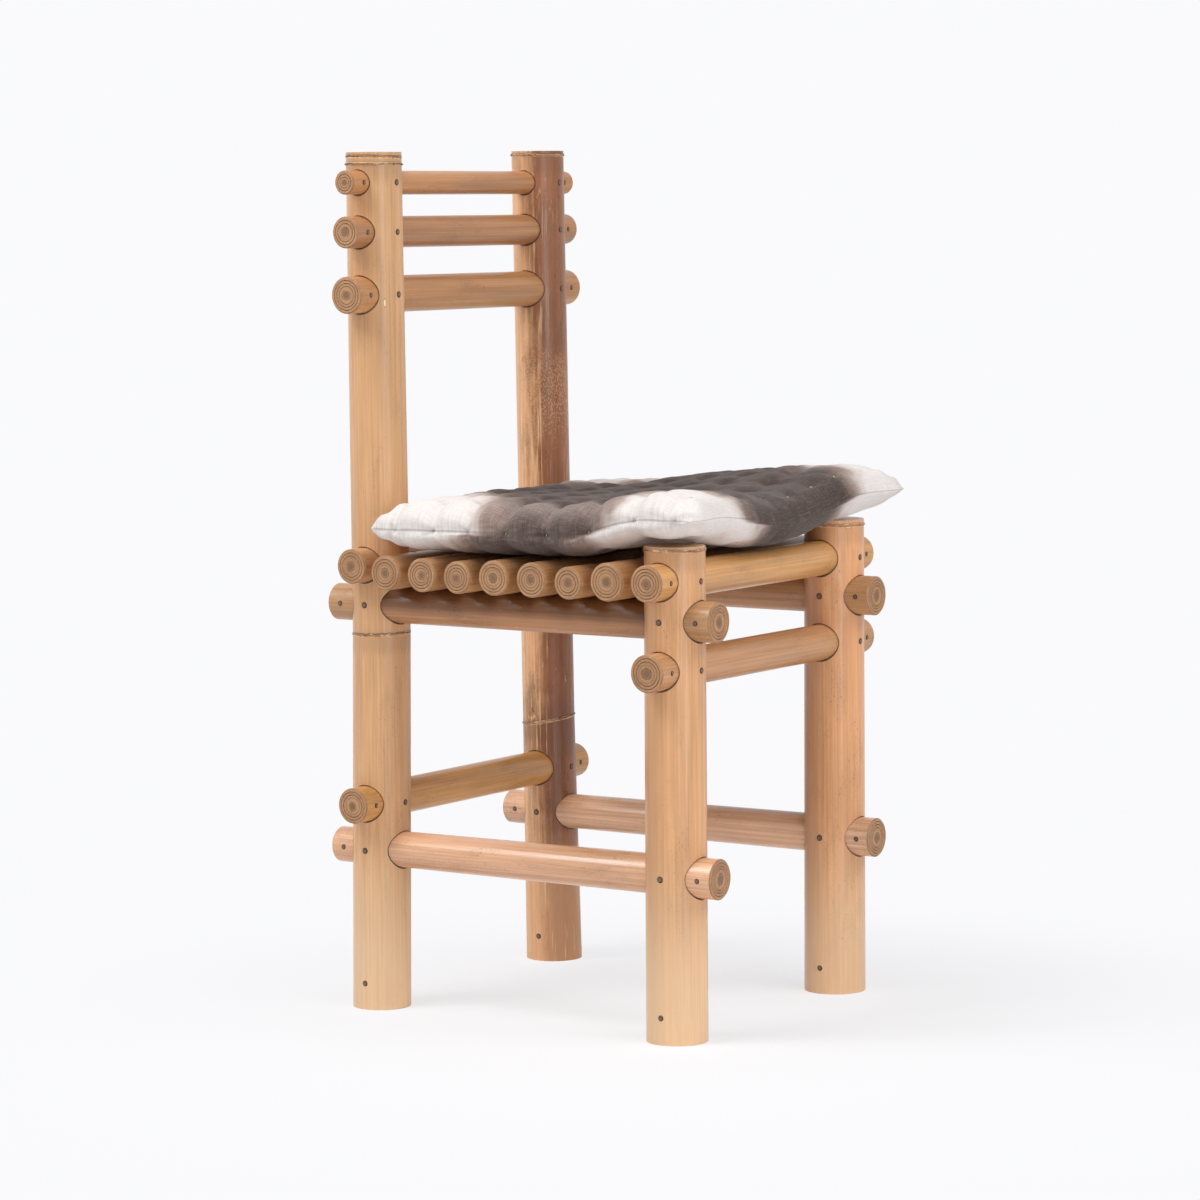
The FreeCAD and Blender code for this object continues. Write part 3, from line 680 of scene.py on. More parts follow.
def mottled(shader, place, colour, base):
    """Weathered skin: darker blotches, a paler flank and foot, flecks and pale lengthwise scratches."""
    blotch, tear, fleck, scratch, worn = shader.noises(place, BLOTCH, TEAR, FLECK, SCRATCH, WORN)
    flank = shader.dot(shader.normal, PALE_FLANK)
    flank = shader.weighted(flank, *zip((blotch, tear), FLANK_RAGGED))
    height = shader.weighted(shader.dot(shader.position, UP), (blotch, HEIGHT_RAGGED))
    beside = shader.product(shader.line(flank, *TORN_BESIDE), shader.ease(worn, *TORN_WHERE))
    return shader.coated(
        colour,
        ((blotch, BLOTCHED), scaled(base, DARK_SKIN)),
        ((flank, FLANK_FADE), skin(shader, place, "Z", MOTTLED_PALE, *PALE_LOOK)[0]),
        ((height, MOTTLED_FOOT), MOTTLED_PALE),
        (shader.line(height, *SLEEVE), scaled(base, SLEEVE_SHADE)),
        ((fleck, FLECKS), shader.line(height, *FLECKED), FLECK_STRENGTH, MOTTLED_PALE),
        ((scratch, SCRATCHES), (worn, SCRATCHED), SCRATCH_PALE),
        ((tear, TEARS), beside, SCRATCH_PALE))


def knuckle_band(shader, place, colour, base, knuckle):
    """Stained skin round a knuckle: painted shade as a dark broken line in the notch over it, and pale torn
    fibres under it.
    """
    level = shader.dot(shader.position, knuckle.normal)
    level = shader.math("SUBTRACT", level, knuckle.centre.dot(knuckle.normal))
    torn, fibres = shader.noises(place, TORN, TORN_FIBRES)
    ragged = shader.weighted(level, (torn, TORN_RAGGED))
    below = shader.line(shader.weighted(level, (fibres, FIBRES_RAGGED)), *STAIN_BAND)
    return shader.coated(
        colour,
        (below, (fibres, STAIN_BREAKS), scaled(base, DARK_SKIN)),
        (shader.line(ragged, *NOTCH_SHADE_BAND), (torn, NOTCH_SHADE_BREAKS), scaled(base, NOTCH_SHADE_SHARE)),
        (shader.line(ragged, *PALE_BAND), (torn, PALE_BREAKS), SCAR_PALE))


def chipped(shader, node, colour):
    """A pale chip in the skin, with a darker edge."""
    facing, height, (across, up) = CHIPS[node]
    place = culm_surface(node, centre_of(node), facing, height)
    away = shader.length(shader.away_from(place), (1 / across, 1 / across, 1 / up))
    return shader.coated(colour, (shader.line(away, *CHIP_RIM), SCAR_DARK), ((away, CHIP_FACE), CHIP_PALE))


def post_material(node, seed):
    base = POST_TONES[node]
    shader = Shader(f"bamboo_{node}")
    place = seeded_place(shader, seed)
    colour, height, roughness = skin(shader, place, "Z", base, *POST_LOOKS.get(node, USUAL_LOOK))
    if node == MOTTLED:
        colour = mottled(shader, place, colour, base)
    # A darker flank: a stain on the front right post, painted shade on the front left post.
    if node in FLANK_STAINS_AND_SHADE:
        flank = shader.dot(shader.normal, FLANK_STAINS_AND_SHADE[node])
        colour = shader.coated(colour, ((flank, FLANK_DARKENING), deepened(base, FLANK_SHADE)))
    if node != MOTTLED:
        # Painted floor light: paler towards the foot.
        colour = shader.coated(colour, ((shader.dot(shader.position, UP), FLOOR_BOUNCE_FADE), FLOOR_BOUNCE_PALE))
    for knuckle in KNUCKLES[node]:
        colour = knuckle_band(shader, place, colour, base, knuckle)
    if node in CHIPS:
        colour = chipped(shader, node, colour)
    for rail in RAIL_TONES:
        if meets(node, rail):
            colour = shader.mix(joint_line(shader, node, rail), colour, JOINT_GAP_SHADOW)
    cut = is_cut(shader, UP)
    grain = shader.noise(place, *POST_GRAIN)
    colour = shader.mix(cut, colour, shader.mix(grain, POST_CUT_PALE, POST_CUT_DARK))
    shader.bump(height, *FIBRE_RELIEF)
    return shader.finish(Base_Color=colour, Roughness=roughness, Specular_IOR_Level=BAMBOO_SHINE)


for post_seed, post_name in enumerate(POST_TONES, start=FIRST_POST_SEED):
    dress(post_name, post_material(post_name, post_seed))


# Scars: the ragged ridges where the leaf sheaths grew, and a bud's eye on the mottled post

SCAR_SEED = 5
SCAR_SIDES = 120
SCAR_SECTION = ((-0.9, -0.6), (-0.9, 0.15), (-0.45, 0.8), (0.1, 1.0), (0.45, 0.5), (0.5, -0.6))
SCAR_WAVES = 9
SCAR_WAVE_SIZES = (0.2, 1.0)
SCAR_SWAY = 0.7 * MM
SCAR_STAND = 0.75
SCAR_UNEVEN = 0.45
SCAR_TORN = ((300.0, 300.0, 150.0), 4.0, 0.65)
SCAR_CLOUD = ((32.0,) * 3, 2.0)
SCAR_FIGURE = (1.6, 1.6)
SCAR_BROWN = tone(176, 128, 88)
DARK_TO_BROWN = (0.15, 0.55)
BROWN_TO_PALE = (0.62, 0.95)
SCAR_RELIEF = (0.5 * MM, 0.8)
BUD_FACING = 172
BUD_RISE = 9 * MM
BUD_SIZE = (5.5 * MM, 8 * MM)
BUD_TAPER = 0.35
BUD_RINGS = ((1.0, -0.5), (1.0, 0.1), (0.8, 0.9), (0.6, 0.5), (0.35, 0.15), (0.15, 0.7), (0.0, 0.8))
BUD_SIDES = 28


def uneven(chance, angles):
    """A smooth random ripple round a ring, from -1 to 1."""
    total = np.zeros_like(angles)
    for wave in range(1, SCAR_WAVES + 1):
        size = chance.uniform(*SCAR_WAVE_SIZES)
        total += size * np.cos(wave * wave * angles + chance.uniform(0, math.tau)) / wave
    return total / np.abs(total).max()


def scar_ridge(post, knuckle, chance):
    """Rings of points along a ridge that runs round the culm at a knuckle."""
    angles = ring_angles(SCAR_SIDES)
    stand, sway = uneven(chance, angles), uneven(chance, angles)
    rings = [[] for _ in SCAR_SECTION]
    for angle, out, shift in zip(angles, stand, sway):
        direction = compass(math.degrees(angle))
        height = knuckle.height_at(direction) + SCAR_SWAY * shift
        point = culm_surface(post, knuckle.centre, direction, height)
        for ring, (rise, share) in zip(rings, SCAR_SECTION):
            proud = share * knuckle.proud * (SCAR_STAND + SCAR_UNEVEN * out if share > 0 else 1.0)
            ring.append(point + direction * proud + Vector((0, 0, rise * MM)))
    return rings


def bud_eye(post, knuckle):
    """Rings of points of a bud's scar: an oval welt with a small heart, tapering upwards."""
    facing = compass(BUD_FACING)
    middle = knuckle.height_at(facing) + BUD_RISE
    radius = (culm_surface(post, knuckle.centre, facing, middle) - knuckle.centre).xy.length
    rings = []
    for share, proud in BUD_RINGS:
        ring = []
        for angle in ring_angles(BUD_SIDES):
            rise = share * BUD_SIZE[1] * math.sin(angle)
            narrow = 1.0 - BUD_TAPER * max(math.sin(angle), 0.0)
            turn = share * BUD_SIZE[0] * narrow * math.cos(angle) / radius
            direction = compass(BUD_FACING + math.degrees(turn))
            point = culm_surface(post, knuckle.centre, direction, middle + rise)
            ring.append(point + direction * proud * MM)
        rings.append(ring)
    return rings


def scar_material():
    shader = Shader("sheath_scar")
    torn, cloud = shader.noises(shader.position, SCAR_TORN, SCAR_CLOUD)
    share = shader.weighted(0.5, *zip((torn, cloud), SCAR_FIGURE))
    colour = shader.coated(
        SCAR_DARK, ((share, DARK_TO_BROWN), SCAR_BROWN), ((share, BROWN_TO_PALE), SCAR_PALE))
    shader.bump(torn, *SCAR_RELIEF)
    return shader.finish(Base_Color=colour, Roughness=0.62)


def add_scars():
    chance = random.Random(SCAR_SEED)
    shell = Shell()
    for post, knuckles in KNUCKLES.items():
        for knuckle in knuckles:
            shell.add_rings(scar_ridge(post, knuckle, chance), closed=True)
    *rings, heart = bud_eye(MOTTLED, KNUCKLES[MOTTLED][0])
    foot, top = shell.add_rings(rings)
    shell.add_pole(top, heart[0])
    shell.add_lid(reversed(foot))
    piece = add_piece("sheath_scars", shell.points, shell.faces)
    piece.data.materials.append(scar_material())
    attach(piece, "frame")


add_scars()


# Foot plugs, inside the hollow feet

PLUG_SEED = 41
PLUG_FIBRE = ((620.0, 620.0, 8.0), 3.0)
PLUG_STREAK = ((230.0, 230.0, 4.0), 3.0)
PLUG_DARK = tone(150, 112, 78)
PLUG_PALE = tone(196, 158, 116)
PLUG_RELIEF = (0.3 * MM, 0.5)


def plug_material():
    shader = Shader("plug_wood")
    place = seeded_place(shader, PLUG_SEED)
    colour = shader.mix(shader.noise(place, *PLUG_STREAK), PLUG_DARK, PLUG_PALE)
    shader.bump(shader.noise(place, *PLUG_FIBRE), *PLUG_RELIEF)
    return shader.finish(Base_Color=colour, Roughness=0.7)


dress("foot_plugs", plug_material())


# Pegs: whittled pins with domed heads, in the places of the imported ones

PEG_SIDES = 20
PEG_DOME = 0.35 * MM
PEG_LUMPS = 0.06
PEG_PROFILE = ((0.45, 0.85), (0.78, 0.40), (0.96, -0.30), (0.96, -4.0))
PEG_GRAIN = ((900.0,) * 3, 3.0)
PEG_RAGGED = 0.5
# Each peg head is dark at its rim and paler at its heart: the peg's own darker tone, with painted shadow of
# the gap round the head.
PEG_HEART = (0.05, 0.5)
PEG_DARK_AND_RIM_SHADOW = tone(46, 32, 25)
PEG_PALE = tone(124, 94, 74)
PEG_RELIEF = (0.2 * MM, 0.6)
PEG_GROUPS = ("post_pegs", "end_pegs", "foot_pegs", "slat_pegs")
SAME_POINT = 0.01 * MM


def islands(data):
    """The corners of each separate solid of a mesh, as arrays of points."""
    owner = list(range(len(data.vertices)))

    def root(index):
        while owner[index] != index:
            owner[index] = owner[owner[index]]
            index = owner[index]
        return index

    seen = {}
    for vertex in data.vertices:
        key = tuple(round(c / SAME_POINT) for c in vertex.co)
        owner[root(vertex.index)] = root(seen.setdefault(key, vertex.index))
    for edge in data.edges:
        owner[root(edge.vertices[0])] = root(edge.vertices[1])
    groups = {}
    for vertex in data.vertices:
        groups.setdefault(root(vertex.index), []).append(tuple(vertex.co))
    return [np.array(points) for points in groups.values()]


def peg_shape(solid, chance):
    """One peg: its rings of points from head to head, its poles, and how near each point is to the heart."""
    low, high = solid.min(axis=0), solid.max(axis=0)
    middle = (low + high) / 2
    axis = int((high - low).argmax())
    length = (high - low)[axis] / 2
    radius = np.delete(high - low, axis).min() / 2
    half = [(share, length + reach * PEG_DOME) for share, reach in PEG_PROFILE]
    profile = half + [(share, -reach) for share, reach in reversed(half)]
    angles = ring_angles(PEG_SIDES)
    lumps = 1.0 - PEG_LUMPS * np.array([chance.random() for _ in angles])
    rings, hearts = [], []
    for share, reach in profile:
        ring = np.zeros((PEG_SIDES, 3))
        ring[:, (axis + 1) % 3] = radius * share * lumps * np.cos(angles)
        ring[:, (axis + 2) % 3] = radius * share * lumps * np.sin(angles)
        ring[:, axis] = reach
        rings.append(ring + middle)
        hearts += [1.0 - share] * PEG_SIDES
    poles = np.zeros((2, 3))
    poles[:, axis] = (length + PEG_DOME, -length - PEG_DOME)
    return rings, poles + middle, hearts + [1.0, 1.0]


def add_pegs(group, material):
    chance = random.Random(group)
    shell, hearts = Shell(), []
    for solid in islands(nodes[group].data):
        rings, (top_pole, bottom_pole), near = peg_shape(solid, chance)
        top, bottom = shell.add_rings(rings, flipped=True)
        shell.add_pole(top, top_pole)
        shell.add_pole(bottom[::-1], bottom_pole)
        hearts += near
    piece = add_piece(f"{group}_whittled", shell.points, shell.faces, {"heart": hearts})
    piece.data.materials.append(material)
    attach(piece, "frame")
    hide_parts(group)


def peg_material():
    shader = Shader("peg_bamboo")
    grain = shader.noise(shader.position, *PEG_GRAIN)
    heart = shader.weighted(shader.attribute("heart"), (grain, PEG_RAGGED))
    colour = shader.coated(PEG_DARK_AND_RIM_SHADOW, ((heart, PEG_HEART), PEG_PALE))
    shader.bump(grain, *PEG_RELIEF)
    return shader.finish(Base_Color=colour, Roughness=0.62)


PEG_MATERIAL = peg_material()
for peg_group in PEG_GROUPS:
    add_pegs(peg_group, PEG_MATERIAL)


# Cushion: a quilted pad, sewn through at its tufts and pinched along its seam

QUILT_SEED = 7
PUCKER_SEED = 3
CELLS = 9
CELL = 44 * MM
CELL_STEPS = 12
STEPS = CELLS * CELL_STEPS
CORNERS = {"back_right": (-0.2005, 0.1425), "back_left": (0.1960, 0.1420),
           "front_right": (-0.1950, -0.2160), "front_left": (0.2020, -0.2190)}
ROW_PLACES = (0.1425, 0.115, 0.075, 0.037, -0.006, -0.052, -0.100, -0.151, -0.192, -0.216)
HALF_WIDTH = CELLS * CELL / 2
SIDE_DRAW = 6 * MM
SEAM_CROWDING = 1.4
CROWN = 29 * MM
CROWN_DROP = 4 * MM
BELLY = 25 * MM
BELLY_PULL = 0.5
SIDE_EDGE = (34 * MM, 2.2, 0.5)
END_EDGE = (38 * MM, 2.0, 0.58)
EAR_REACH = 55 * MM
EAR_FULL = 0.95
EAR_CREASE = 0.20
PUCKERED_CREASE = 0.60
EAR_CREASE_AT = 21 * MM
EAR_CREASE_SPAN = 7 * MM
# Swells and dips of the pad: how far each one spreads, and its height.
BELLY_SLIM = (45 * MM, 0.5)
SIDE_SLIM = (40 * MM, 0.22)
EAR_ROUND = (30 * MM, 0.28)
EAR_DRAW = (40 * MM, 13 * MM)
EAR_BLUNT = (17 * MM, 10 * MM)
TUFT = (9 * MM, 0.26)
HOLLOW = (5.5 * MM, 3.0 * MM)
LINE_PULL = 0.05
LINE_SPAN = 6 * MM
GATHER_PULL = 0.24
GATHER_REACH = 26 * MM
FRONT_ROWS = 0.6
FRONT_SLACK = 0.5
STITCH_SPAN = 4 * MM
FOLD_OUT = 5 * MM
FOLD_REACH = 3 * MM
PINCH_DRAW = 4.5 * MM
PINCH_PULL = 0.35
PINCH_REACH = 12 * MM
PINCH_SPAN = 7 * MM
TUFT_DRIFT = 3.5 * MM
TUFT_UNEVEN = 0.08
RIPPLES = 7
RIPPLE_DEPTH = 1.0 * MM
RIPPLE_AT = 11 * MM
RIPPLE_SPAN = 7 * MM
PUCKER = 2.4
IRONINGS = 14
IRON_ALL = 0.05
IRON_PLAIN = 0.55
WRINKLES = 24
WRINKLE_HEIGHT = 0.35 * MM
WRINKLE_LENGTHS = (11 * MM, 30 * MM)
SEAM_Z = 478 * MM
RISE_START = {"right": -0.070, "left": 0.100}
RISE_END = -0.170
FRONT_SAG = 6.5 * MM
FRONT_RISE = {"right": 19 * MM, "left": 25 * MM}
BACK_SLATS = [f"seat_slat_{number}" for number in range(1, 7)]
FRONT_SLAT = "seat_slat_7"
REST_GAP = 0.6 * MM
POST_EASE = (3 * MM, 26 * MM)
SIM_FRAMES = 24
CLOTH = {"quality": 6, "mass": 0.12, "tension_stiffness": 25.0, "compression_stiffness": 12.0,
         "shear_stiffness": 6.0, "bending_stiffness": 0.3, "shrink_min": -0.008,
         "use_pressure": True, "uniform_pressure_force": 0.6, "vertex_group_mass": "held"}


def eased(low, high, value):
    share = np.clip((value - low) / (high - low), 0.0, 1.0)
    return share * share * (3.0 - 2.0 * share)


def bell(distance, span, height=1.0):
    return height * np.exp(-(distance / span) ** 2)


def to_whole(cells):
    """The distance in metres from the nearest line between cells."""
    return np.abs(cells - np.round(cells)) * CELL


class Quilt:
    """The pad's grid of points: columns from right to left, rows from back to front."""

    def __init__(self):
        chance = np.random.default_rng(QUILT_SEED)
        steps = np.arange(STEPS + 1) / CELL_STEPS
        self.column, self.row = np.meshgrid(steps, steps)
        down = self.row / CELLS
        inward = np.minimum(self.column, CELLS - self.column)
        self.to_side = np.where(inward < 1, inward ** SEAM_CROWDING, inward) * CELL
        self.flat_x = np.where(self.column < CELLS / 2, -1, 1) * (HALF_WIDTH - self.to_side)
        across = 0.5 + self.flat_x / (2 * HALF_WIDTH)
        self.outward = np.sign(across - 0.5)
        self.flat_y = np.interp(self.row, np.arange(CELLS + 1), ROW_PLACES)
        share = (self.flat_y - ROW_PLACES[0]) / (ROW_PLACES[-1] - ROW_PLACES[0])
        self.x, self.y = (self.between_corners(index, across, share) for index in (0, 1))
        self.x -= SIDE_DRAW * (2 * across - 1) * (1 - (2 * down - 1) ** 2)
        self.y -= SIDE_DRAW * (1 - 2 * down) * (1 - (2 * across - 1) ** 2)
        self.to_end = np.minimum(self.flat_y - ROW_PLACES[-1], ROW_PLACES[0] - self.flat_y)
        self.to_corner = np.hypot(self.to_side, self.to_end)
        self.shape_ears()
        self.seam = self.seam_height()
        self.full = self.fullness()
        self.plain = eased(CELLS - FRONT_ROWS, CELLS, self.row)
        self.crown = CROWN - CROWN_DROP * eased(0.0, RISE_END, self.y)
        self.pull = self.pulled()
        self.sew_unevenly(chance)
        self.fold_over()
        self.pinch()
        self.wrinkle = self.wrinkled(chance)

    @staticmethod
    def between_corners(index, across, down):
        back = CORNERS["back_right"][index] * (1 - across) + CORNERS["back_left"][index] * across
        front = CORNERS["front_right"][index] * (1 - across) + CORNERS["front_left"][index] * across
        return back * (1 - down) + front * down

    def seam_height(self):
        """The seam lies level, and climbs at the front over the posts, sooner on the left."""
        post = np.where(self.x < 0, FRONT_RISE["right"], FRONT_RISE["left"])
        rise = FRONT_SAG + (post - FRONT_SAG) * eased(0.0, POST_X, np.abs(self.x))
        leftness = np.clip(0.5 + self.x / (2 * HALF_WIDTH), 0.0, 1.0)
        start = RISE_START["right"] + (RISE_START["left"] - RISE_START["right"]) * leftness
        return SEAM_Z + rise * eased(start, RISE_END, self.y)

    def shape_ears(self):
        """Draws the corners out into blunt ears; the back edge stays in front of the back posts."""
        draw = bell(self.to_corner, *EAR_DRAW) - bell(self.to_corner, *EAR_BLUNT)
        self.x += draw * self.outward
        self.y -= draw * (self.row > CELLS / 2)

    def fullness(self):
        """From 0 at the seam to 1 inside, with less in the ears at the corners and a crease before them."""
        full = np.ones_like(self.x)
        for away, (reach, power, rise) in ((self.to_side, SIDE_EDGE), (self.to_end, END_EDGE)):
            full *= (1.0 - (1.0 - np.clip(away / reach, 0.0, 1.0)) ** power) ** rise
        full **= 1.0 - bell(self.to_corner, *EAR_ROUND)
        ears = EAR_FULL + (1 - EAR_FULL) * eased(0.0, EAR_REACH, self.to_corner)
        puckered = (self.column < CELLS / 2) & (self.row > CELLS / 2)
        crease = np.where(puckered, PUCKERED_CREASE, EAR_CREASE)
        return full * ears * (1.0 - crease * bell(self.to_corner - EAR_CREASE_AT, EAR_CREASE_SPAN))

    def pulled(self):
        """How far the surface is drawn down: at the tufts, between them and in gathers along the sides."""
        beside, before = to_whole(self.column), to_whole(self.row)
        tuft = bell(np.hypot(beside, before), *TUFT)
        line = np.maximum(bell(beside, LINE_SPAN), bell(before, LINE_SPAN))
        gather = bell(before, LINE_SPAN) * np.exp(-self.to_side / GATHER_REACH)
        slack = FRONT_SLACK * eased(CELLS - 2, CELLS - 1, self.row)
        return (tuft + LINE_PULL * line) * (1 - slack) * (1 - self.plain) + GATHER_PULL * gather

    def sew_unevenly(self, chance):
        """Shifts the tufts a little out of line and makes some tighter than others."""
        drift = chance.uniform(-1.0, 1.0, (3, CELLS + 1, CELLS + 1))
        drift[:, [0, -1], :] = 0.0
        drift[:, :, [0, -1]] = 0.0
        column = np.minimum(self.column.astype(int), CELLS - 1)
        row = np.minimum(self.row.astype(int), CELLS - 1)
        right, below = self.column - column, self.row - row
        upper = drift[:, row, column] * (1 - right) + drift[:, row, column + 1] * right
        lower = drift[:, row + 1, column] * (1 - right) + drift[:, row + 1, column + 1] * right
        spread = upper * (1 - below) + lower * below
        self.x += TUFT_DRIFT * spread[0]
        self.y += TUFT_DRIFT * spread[1]
        self.full *= 1.0 + TUFT_UNEVEN * spread[2]

    def fold_over(self):
        """Lets the cloth beside the seam bulge out past it, so that the seam lies in a groove."""
        step = self.to_side / FOLD_REACH
        bulge = step * np.exp(1.0 - step) * eased(0.0, EAR_REACH, self.to_corner)
        self.x += FOLD_OUT * self.outward * bulge

    def pinch(self):
        """Draws the seam in where it is stitched through along the sides."""
        beside = np.exp(-self.to_side / PINCH_REACH) * bell(to_whole(self.row), PINCH_SPAN)
        beside *= self.to_end > CELL / 4
        self.x -= PINCH_DRAW * self.outward * beside
        self.pull += PINCH_PULL * beside

    def wrinkled(self, chance):
        """Small folds that run every way over the cloth."""
        total = np.zeros_like(self.x)
        for _ in range(WRINKLES):
            wave = math.tau / chance.uniform(*WRINKLE_LENGTHS)
            turn, phase = chance.uniform(0, math.tau, 2)
            total += np.cos(wave * (math.cos(turn) * self.x + math.sin(turn) * self.y) + phase)
        return WRINKLE_HEIGHT * total / math.sqrt(WRINKLES / 2)

    def is_rim(self):
        return (self.column == 0) | (self.column == CELLS) | (self.row == 0) | (self.row == CELLS)

    def is_stitched(self, column, row):
        """True at the tufts, and at the pinches along the sides."""
        return (column % 1 == 0) & (row % 1 == 0) & (row > 0) & (row < CELLS)

    def stitch_shadow(self):
        """1 in the hollow of a stitch, fading to nothing round it: where painted shade darkens the cloth."""
        away = np.hypot(to_whole(self.column), to_whole(self.row))
        return bell(away, STITCH_SPAN) * self.is_stitched(np.round(self.column), np.round(self.row))


def rest_height(x, y):
    """The lowest that the pad may reach: on the slats, and over the tops of the front posts."""
    back_top = max(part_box(slat)[1].z for slat in BACK_SLATS)
    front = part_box(FRONT_SLAT)
    height = np.where(y < front[1].y, front[1].z, back_top)
    for post in ("front_post_right", "front_post_left"):
        low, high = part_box(post)
        middle = centre_of(post)
        radius = (high.x - low.x) / 2
        away = np.hypot(x - middle.x, y - middle.y)
        lift = eased(radius + POST_EASE[1], radius + POST_EASE[0], away)
        height = np.maximum(height, height + (high.z - height) * lift)
    return height + REST_GAP


def settled(points):
    """Points kept above what the pad lies on, and in front of the back posts."""
    points[:, 2] = np.maximum(points[:, 2], rest_height(points[:, 0], points[:, 1]))
    points[:, 1] = np.minimum(points[:, 1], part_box("back_post_right")[0].y - REST_GAP)
    return points


def layers(quilt):
    """The point numbers of the top layer and of the bottom one, which share the rim."""
    inside = ~quilt.is_rim()
    top = np.arange(inside.size).reshape(inside.shape)
    bottom = top.copy()
    bottom[inside] = inside.size + np.arange(inside.sum())
    return top, bottom


def cushion_mesh(quilt):
    """Points, faces and values of the sewn pad: the top layer, then the inside of the bottom one."""
    size = STEPS + 1
    lift = quilt.full * (quilt.crown * (1 - quilt.pull) + quilt.wrinkle)
    slim = bell(quilt.to_corner, *BELLY_SLIM) * (quilt.row > CELLS / 2)
    slim = np.maximum(slim, bell(quilt.to_side, *SIDE_SLIM))
    drop = quilt.full * BELLY * (1 - BELLY_PULL * quilt.pull) * (1 - slim)
    top = np.stack([quilt.x, quilt.y, quilt.seam + lift], axis=2).reshape(-1, 3)
    bottom = np.stack([quilt.x, quilt.y, quilt.seam - drop], axis=2).reshape(-1, 3)
    inside = ~quilt.is_rim().ravel()
    under = layers(quilt)[1].ravel()
    points = settled(np.concatenate([top, bottom[inside]]))
    faces = []
    for row in range(STEPS):
        for column in range(STEPS):
            corner = row * size + column
            loop = (corner, corner + size, corner + size + 1, corner + 1)
            faces.append(loop)
            faces.append(tuple(int(under[index]) for index in reversed(loop)))
    flat = np.stack([quilt.flat_x, quilt.flat_y, np.zeros_like(quilt.x)], axis=2).reshape(-1, 3)
    flat = np.concatenate([flat, flat[inside] + (0, 0, -1)])
    edge = np.minimum(quilt.to_side, quilt.to_end).ravel()
    edge = np.concatenate([edge, -edge[inside]])
    shade = quilt.stitch_shadow().ravel()
    shade = np.concatenate([shade, shade[inside]])
    stitched = quilt.is_stitched(quilt.column, quilt.row).ravel()
    held = np.concatenate([stitched | ~inside, stitched[inside]])
    attributes = {"quilt": flat, "edge": edge, "stitch": shade}
    return points, faces, attributes, np.flatnonzero(stitched), np.flatnonzero(held)


def ironed(points, quilt):
    """Points with the fine ripples of both layers smoothed, most of all along the plain front."""
    share = (IRON_ALL + IRON_PLAIN * quilt.plain)[1:-1, 1:-1, None]
    for layer in layers(quilt):
        cloth = points[layer]
        for _ in range(IRONINGS):
            around = (cloth[:-2, 1:-1] + cloth[2:, 1:-1] + cloth[1:-1, :-2] + cloth[1:-1, 2:]) / 4
            cloth[1:-1, 1:-1] += share * (around - cloth[1:-1, 1:-1])
        points[layer] = cloth
    return points


def gathered(points, quilt):
    """Points drawn in at each pinch of the side seams, with small folds that run out from it."""
    chance = np.random.default_rng(PUCKER_SEED)
    at_side = (quilt.column == 0) | (quilt.column == CELLS)
    pinches = np.flatnonzero((quilt.is_stitched(quilt.column, quilt.row) & at_side).ravel())
    moved = points.copy()
    for pinch in pinches:
        place = points[pinch]
        puckered = place[0] < 0 and quilt.row.ravel()[pinch] == CELLS - 1
        away = points - place
        reach = np.linalg.norm(away, axis=1)
        turn = RIPPLES * np.arctan2(away[:, 2], away[:, 1]) + chance.uniform(0, math.tau)
        draw = bell(reach, *HOLLOW)
        draw += RIPPLE_DEPTH * np.cos(turn) * bell(reach - RIPPLE_AT, RIPPLE_SPAN)
        moved[:, 0] -= math.copysign(PUCKER if puckered else 1.0, place[0]) * draw
    return moved


def inflate(piece, held):
    """Blows the pad up as cloth that is held at its seam and stitches, and returns the settled points."""
    group = piece.vertex_groups.new(name=CLOTH["vertex_group_mass"])
    group.add([int(index) for index in held], 1.0, "REPLACE")
    cloth = piece.modifiers.new("cloth", "CLOTH")
    for name, value in CLOTH.items():
        setattr(cloth.settings, name, value)
    cloth.settings.effector_weights.gravity = 0.0
    cloth.collision_settings.use_collision = False
    cloth.point_cache.frame_start = 1
    cloth.point_cache.frame_end = SIM_FRAMES
    scene = bpy.context.scene
    for step in range(1, SIM_FRAMES + 1):
        scene.frame_set(step)
    shaped = piece.evaluated_get(bpy.context.evaluated_depsgraph_get())
    points = np.array([tuple(vertex.co) for vertex in shaped.data.vertices])
    piece.modifiers.remove(cloth)
    piece.vertex_groups.remove(group)
    scene.frame_set(1)
    return points


# Each pale patch of the dip-dye: its middle, its reach across and along, how soft its edge is,
# and how much further it reaches on the underside.
PALE_PATCHES = (
    ((-0.205, 0.150, 0.0), (0.125, 0.140), 0.42, -0.18),
    ((-0.205, -0.224, 0.0), (0.118, 0.104), 0.34, 0.28),
    ((0.208, -0.230, 0.0), (0.090, 0.130), 0.42, 0.26),
    ((0.205, 0.150, 0.0), (0.130, 0.120), 0.45, 0.0),
)
DYE_RAGGED = (0.55, 0.18)
CREAM = tone(238, 231, 227)
FADED = tone(188, 163, 151)
TAUPE = tone(80, 65, 59)
DEEP_TAUPE = scaled(TAUPE, 0.72)
SHADED_TAUPE = scaled(TAUPE, 0.5)
STITCH_SHADOW_TAUPE = scaled(TAUPE, 0.3)
# A paler taupe painted on the near side of the pad, on its upper slope off the seam: painted light.
LIT_SIDE_TAUPE = tone(150, 132, 126)
CREAM_TO_FADED = (0.05, 0.6)
FADED_TO_TAUPE = (0.25, 0.95)
TAUPE_TO_DEEP = (0.35, 0.7)
NEAR_EDGE = (-0.176, -0.140, 1.0, 0.0)
OFF_SEAM = (1 * MM, 17 * MM, 0.25, 1.0)
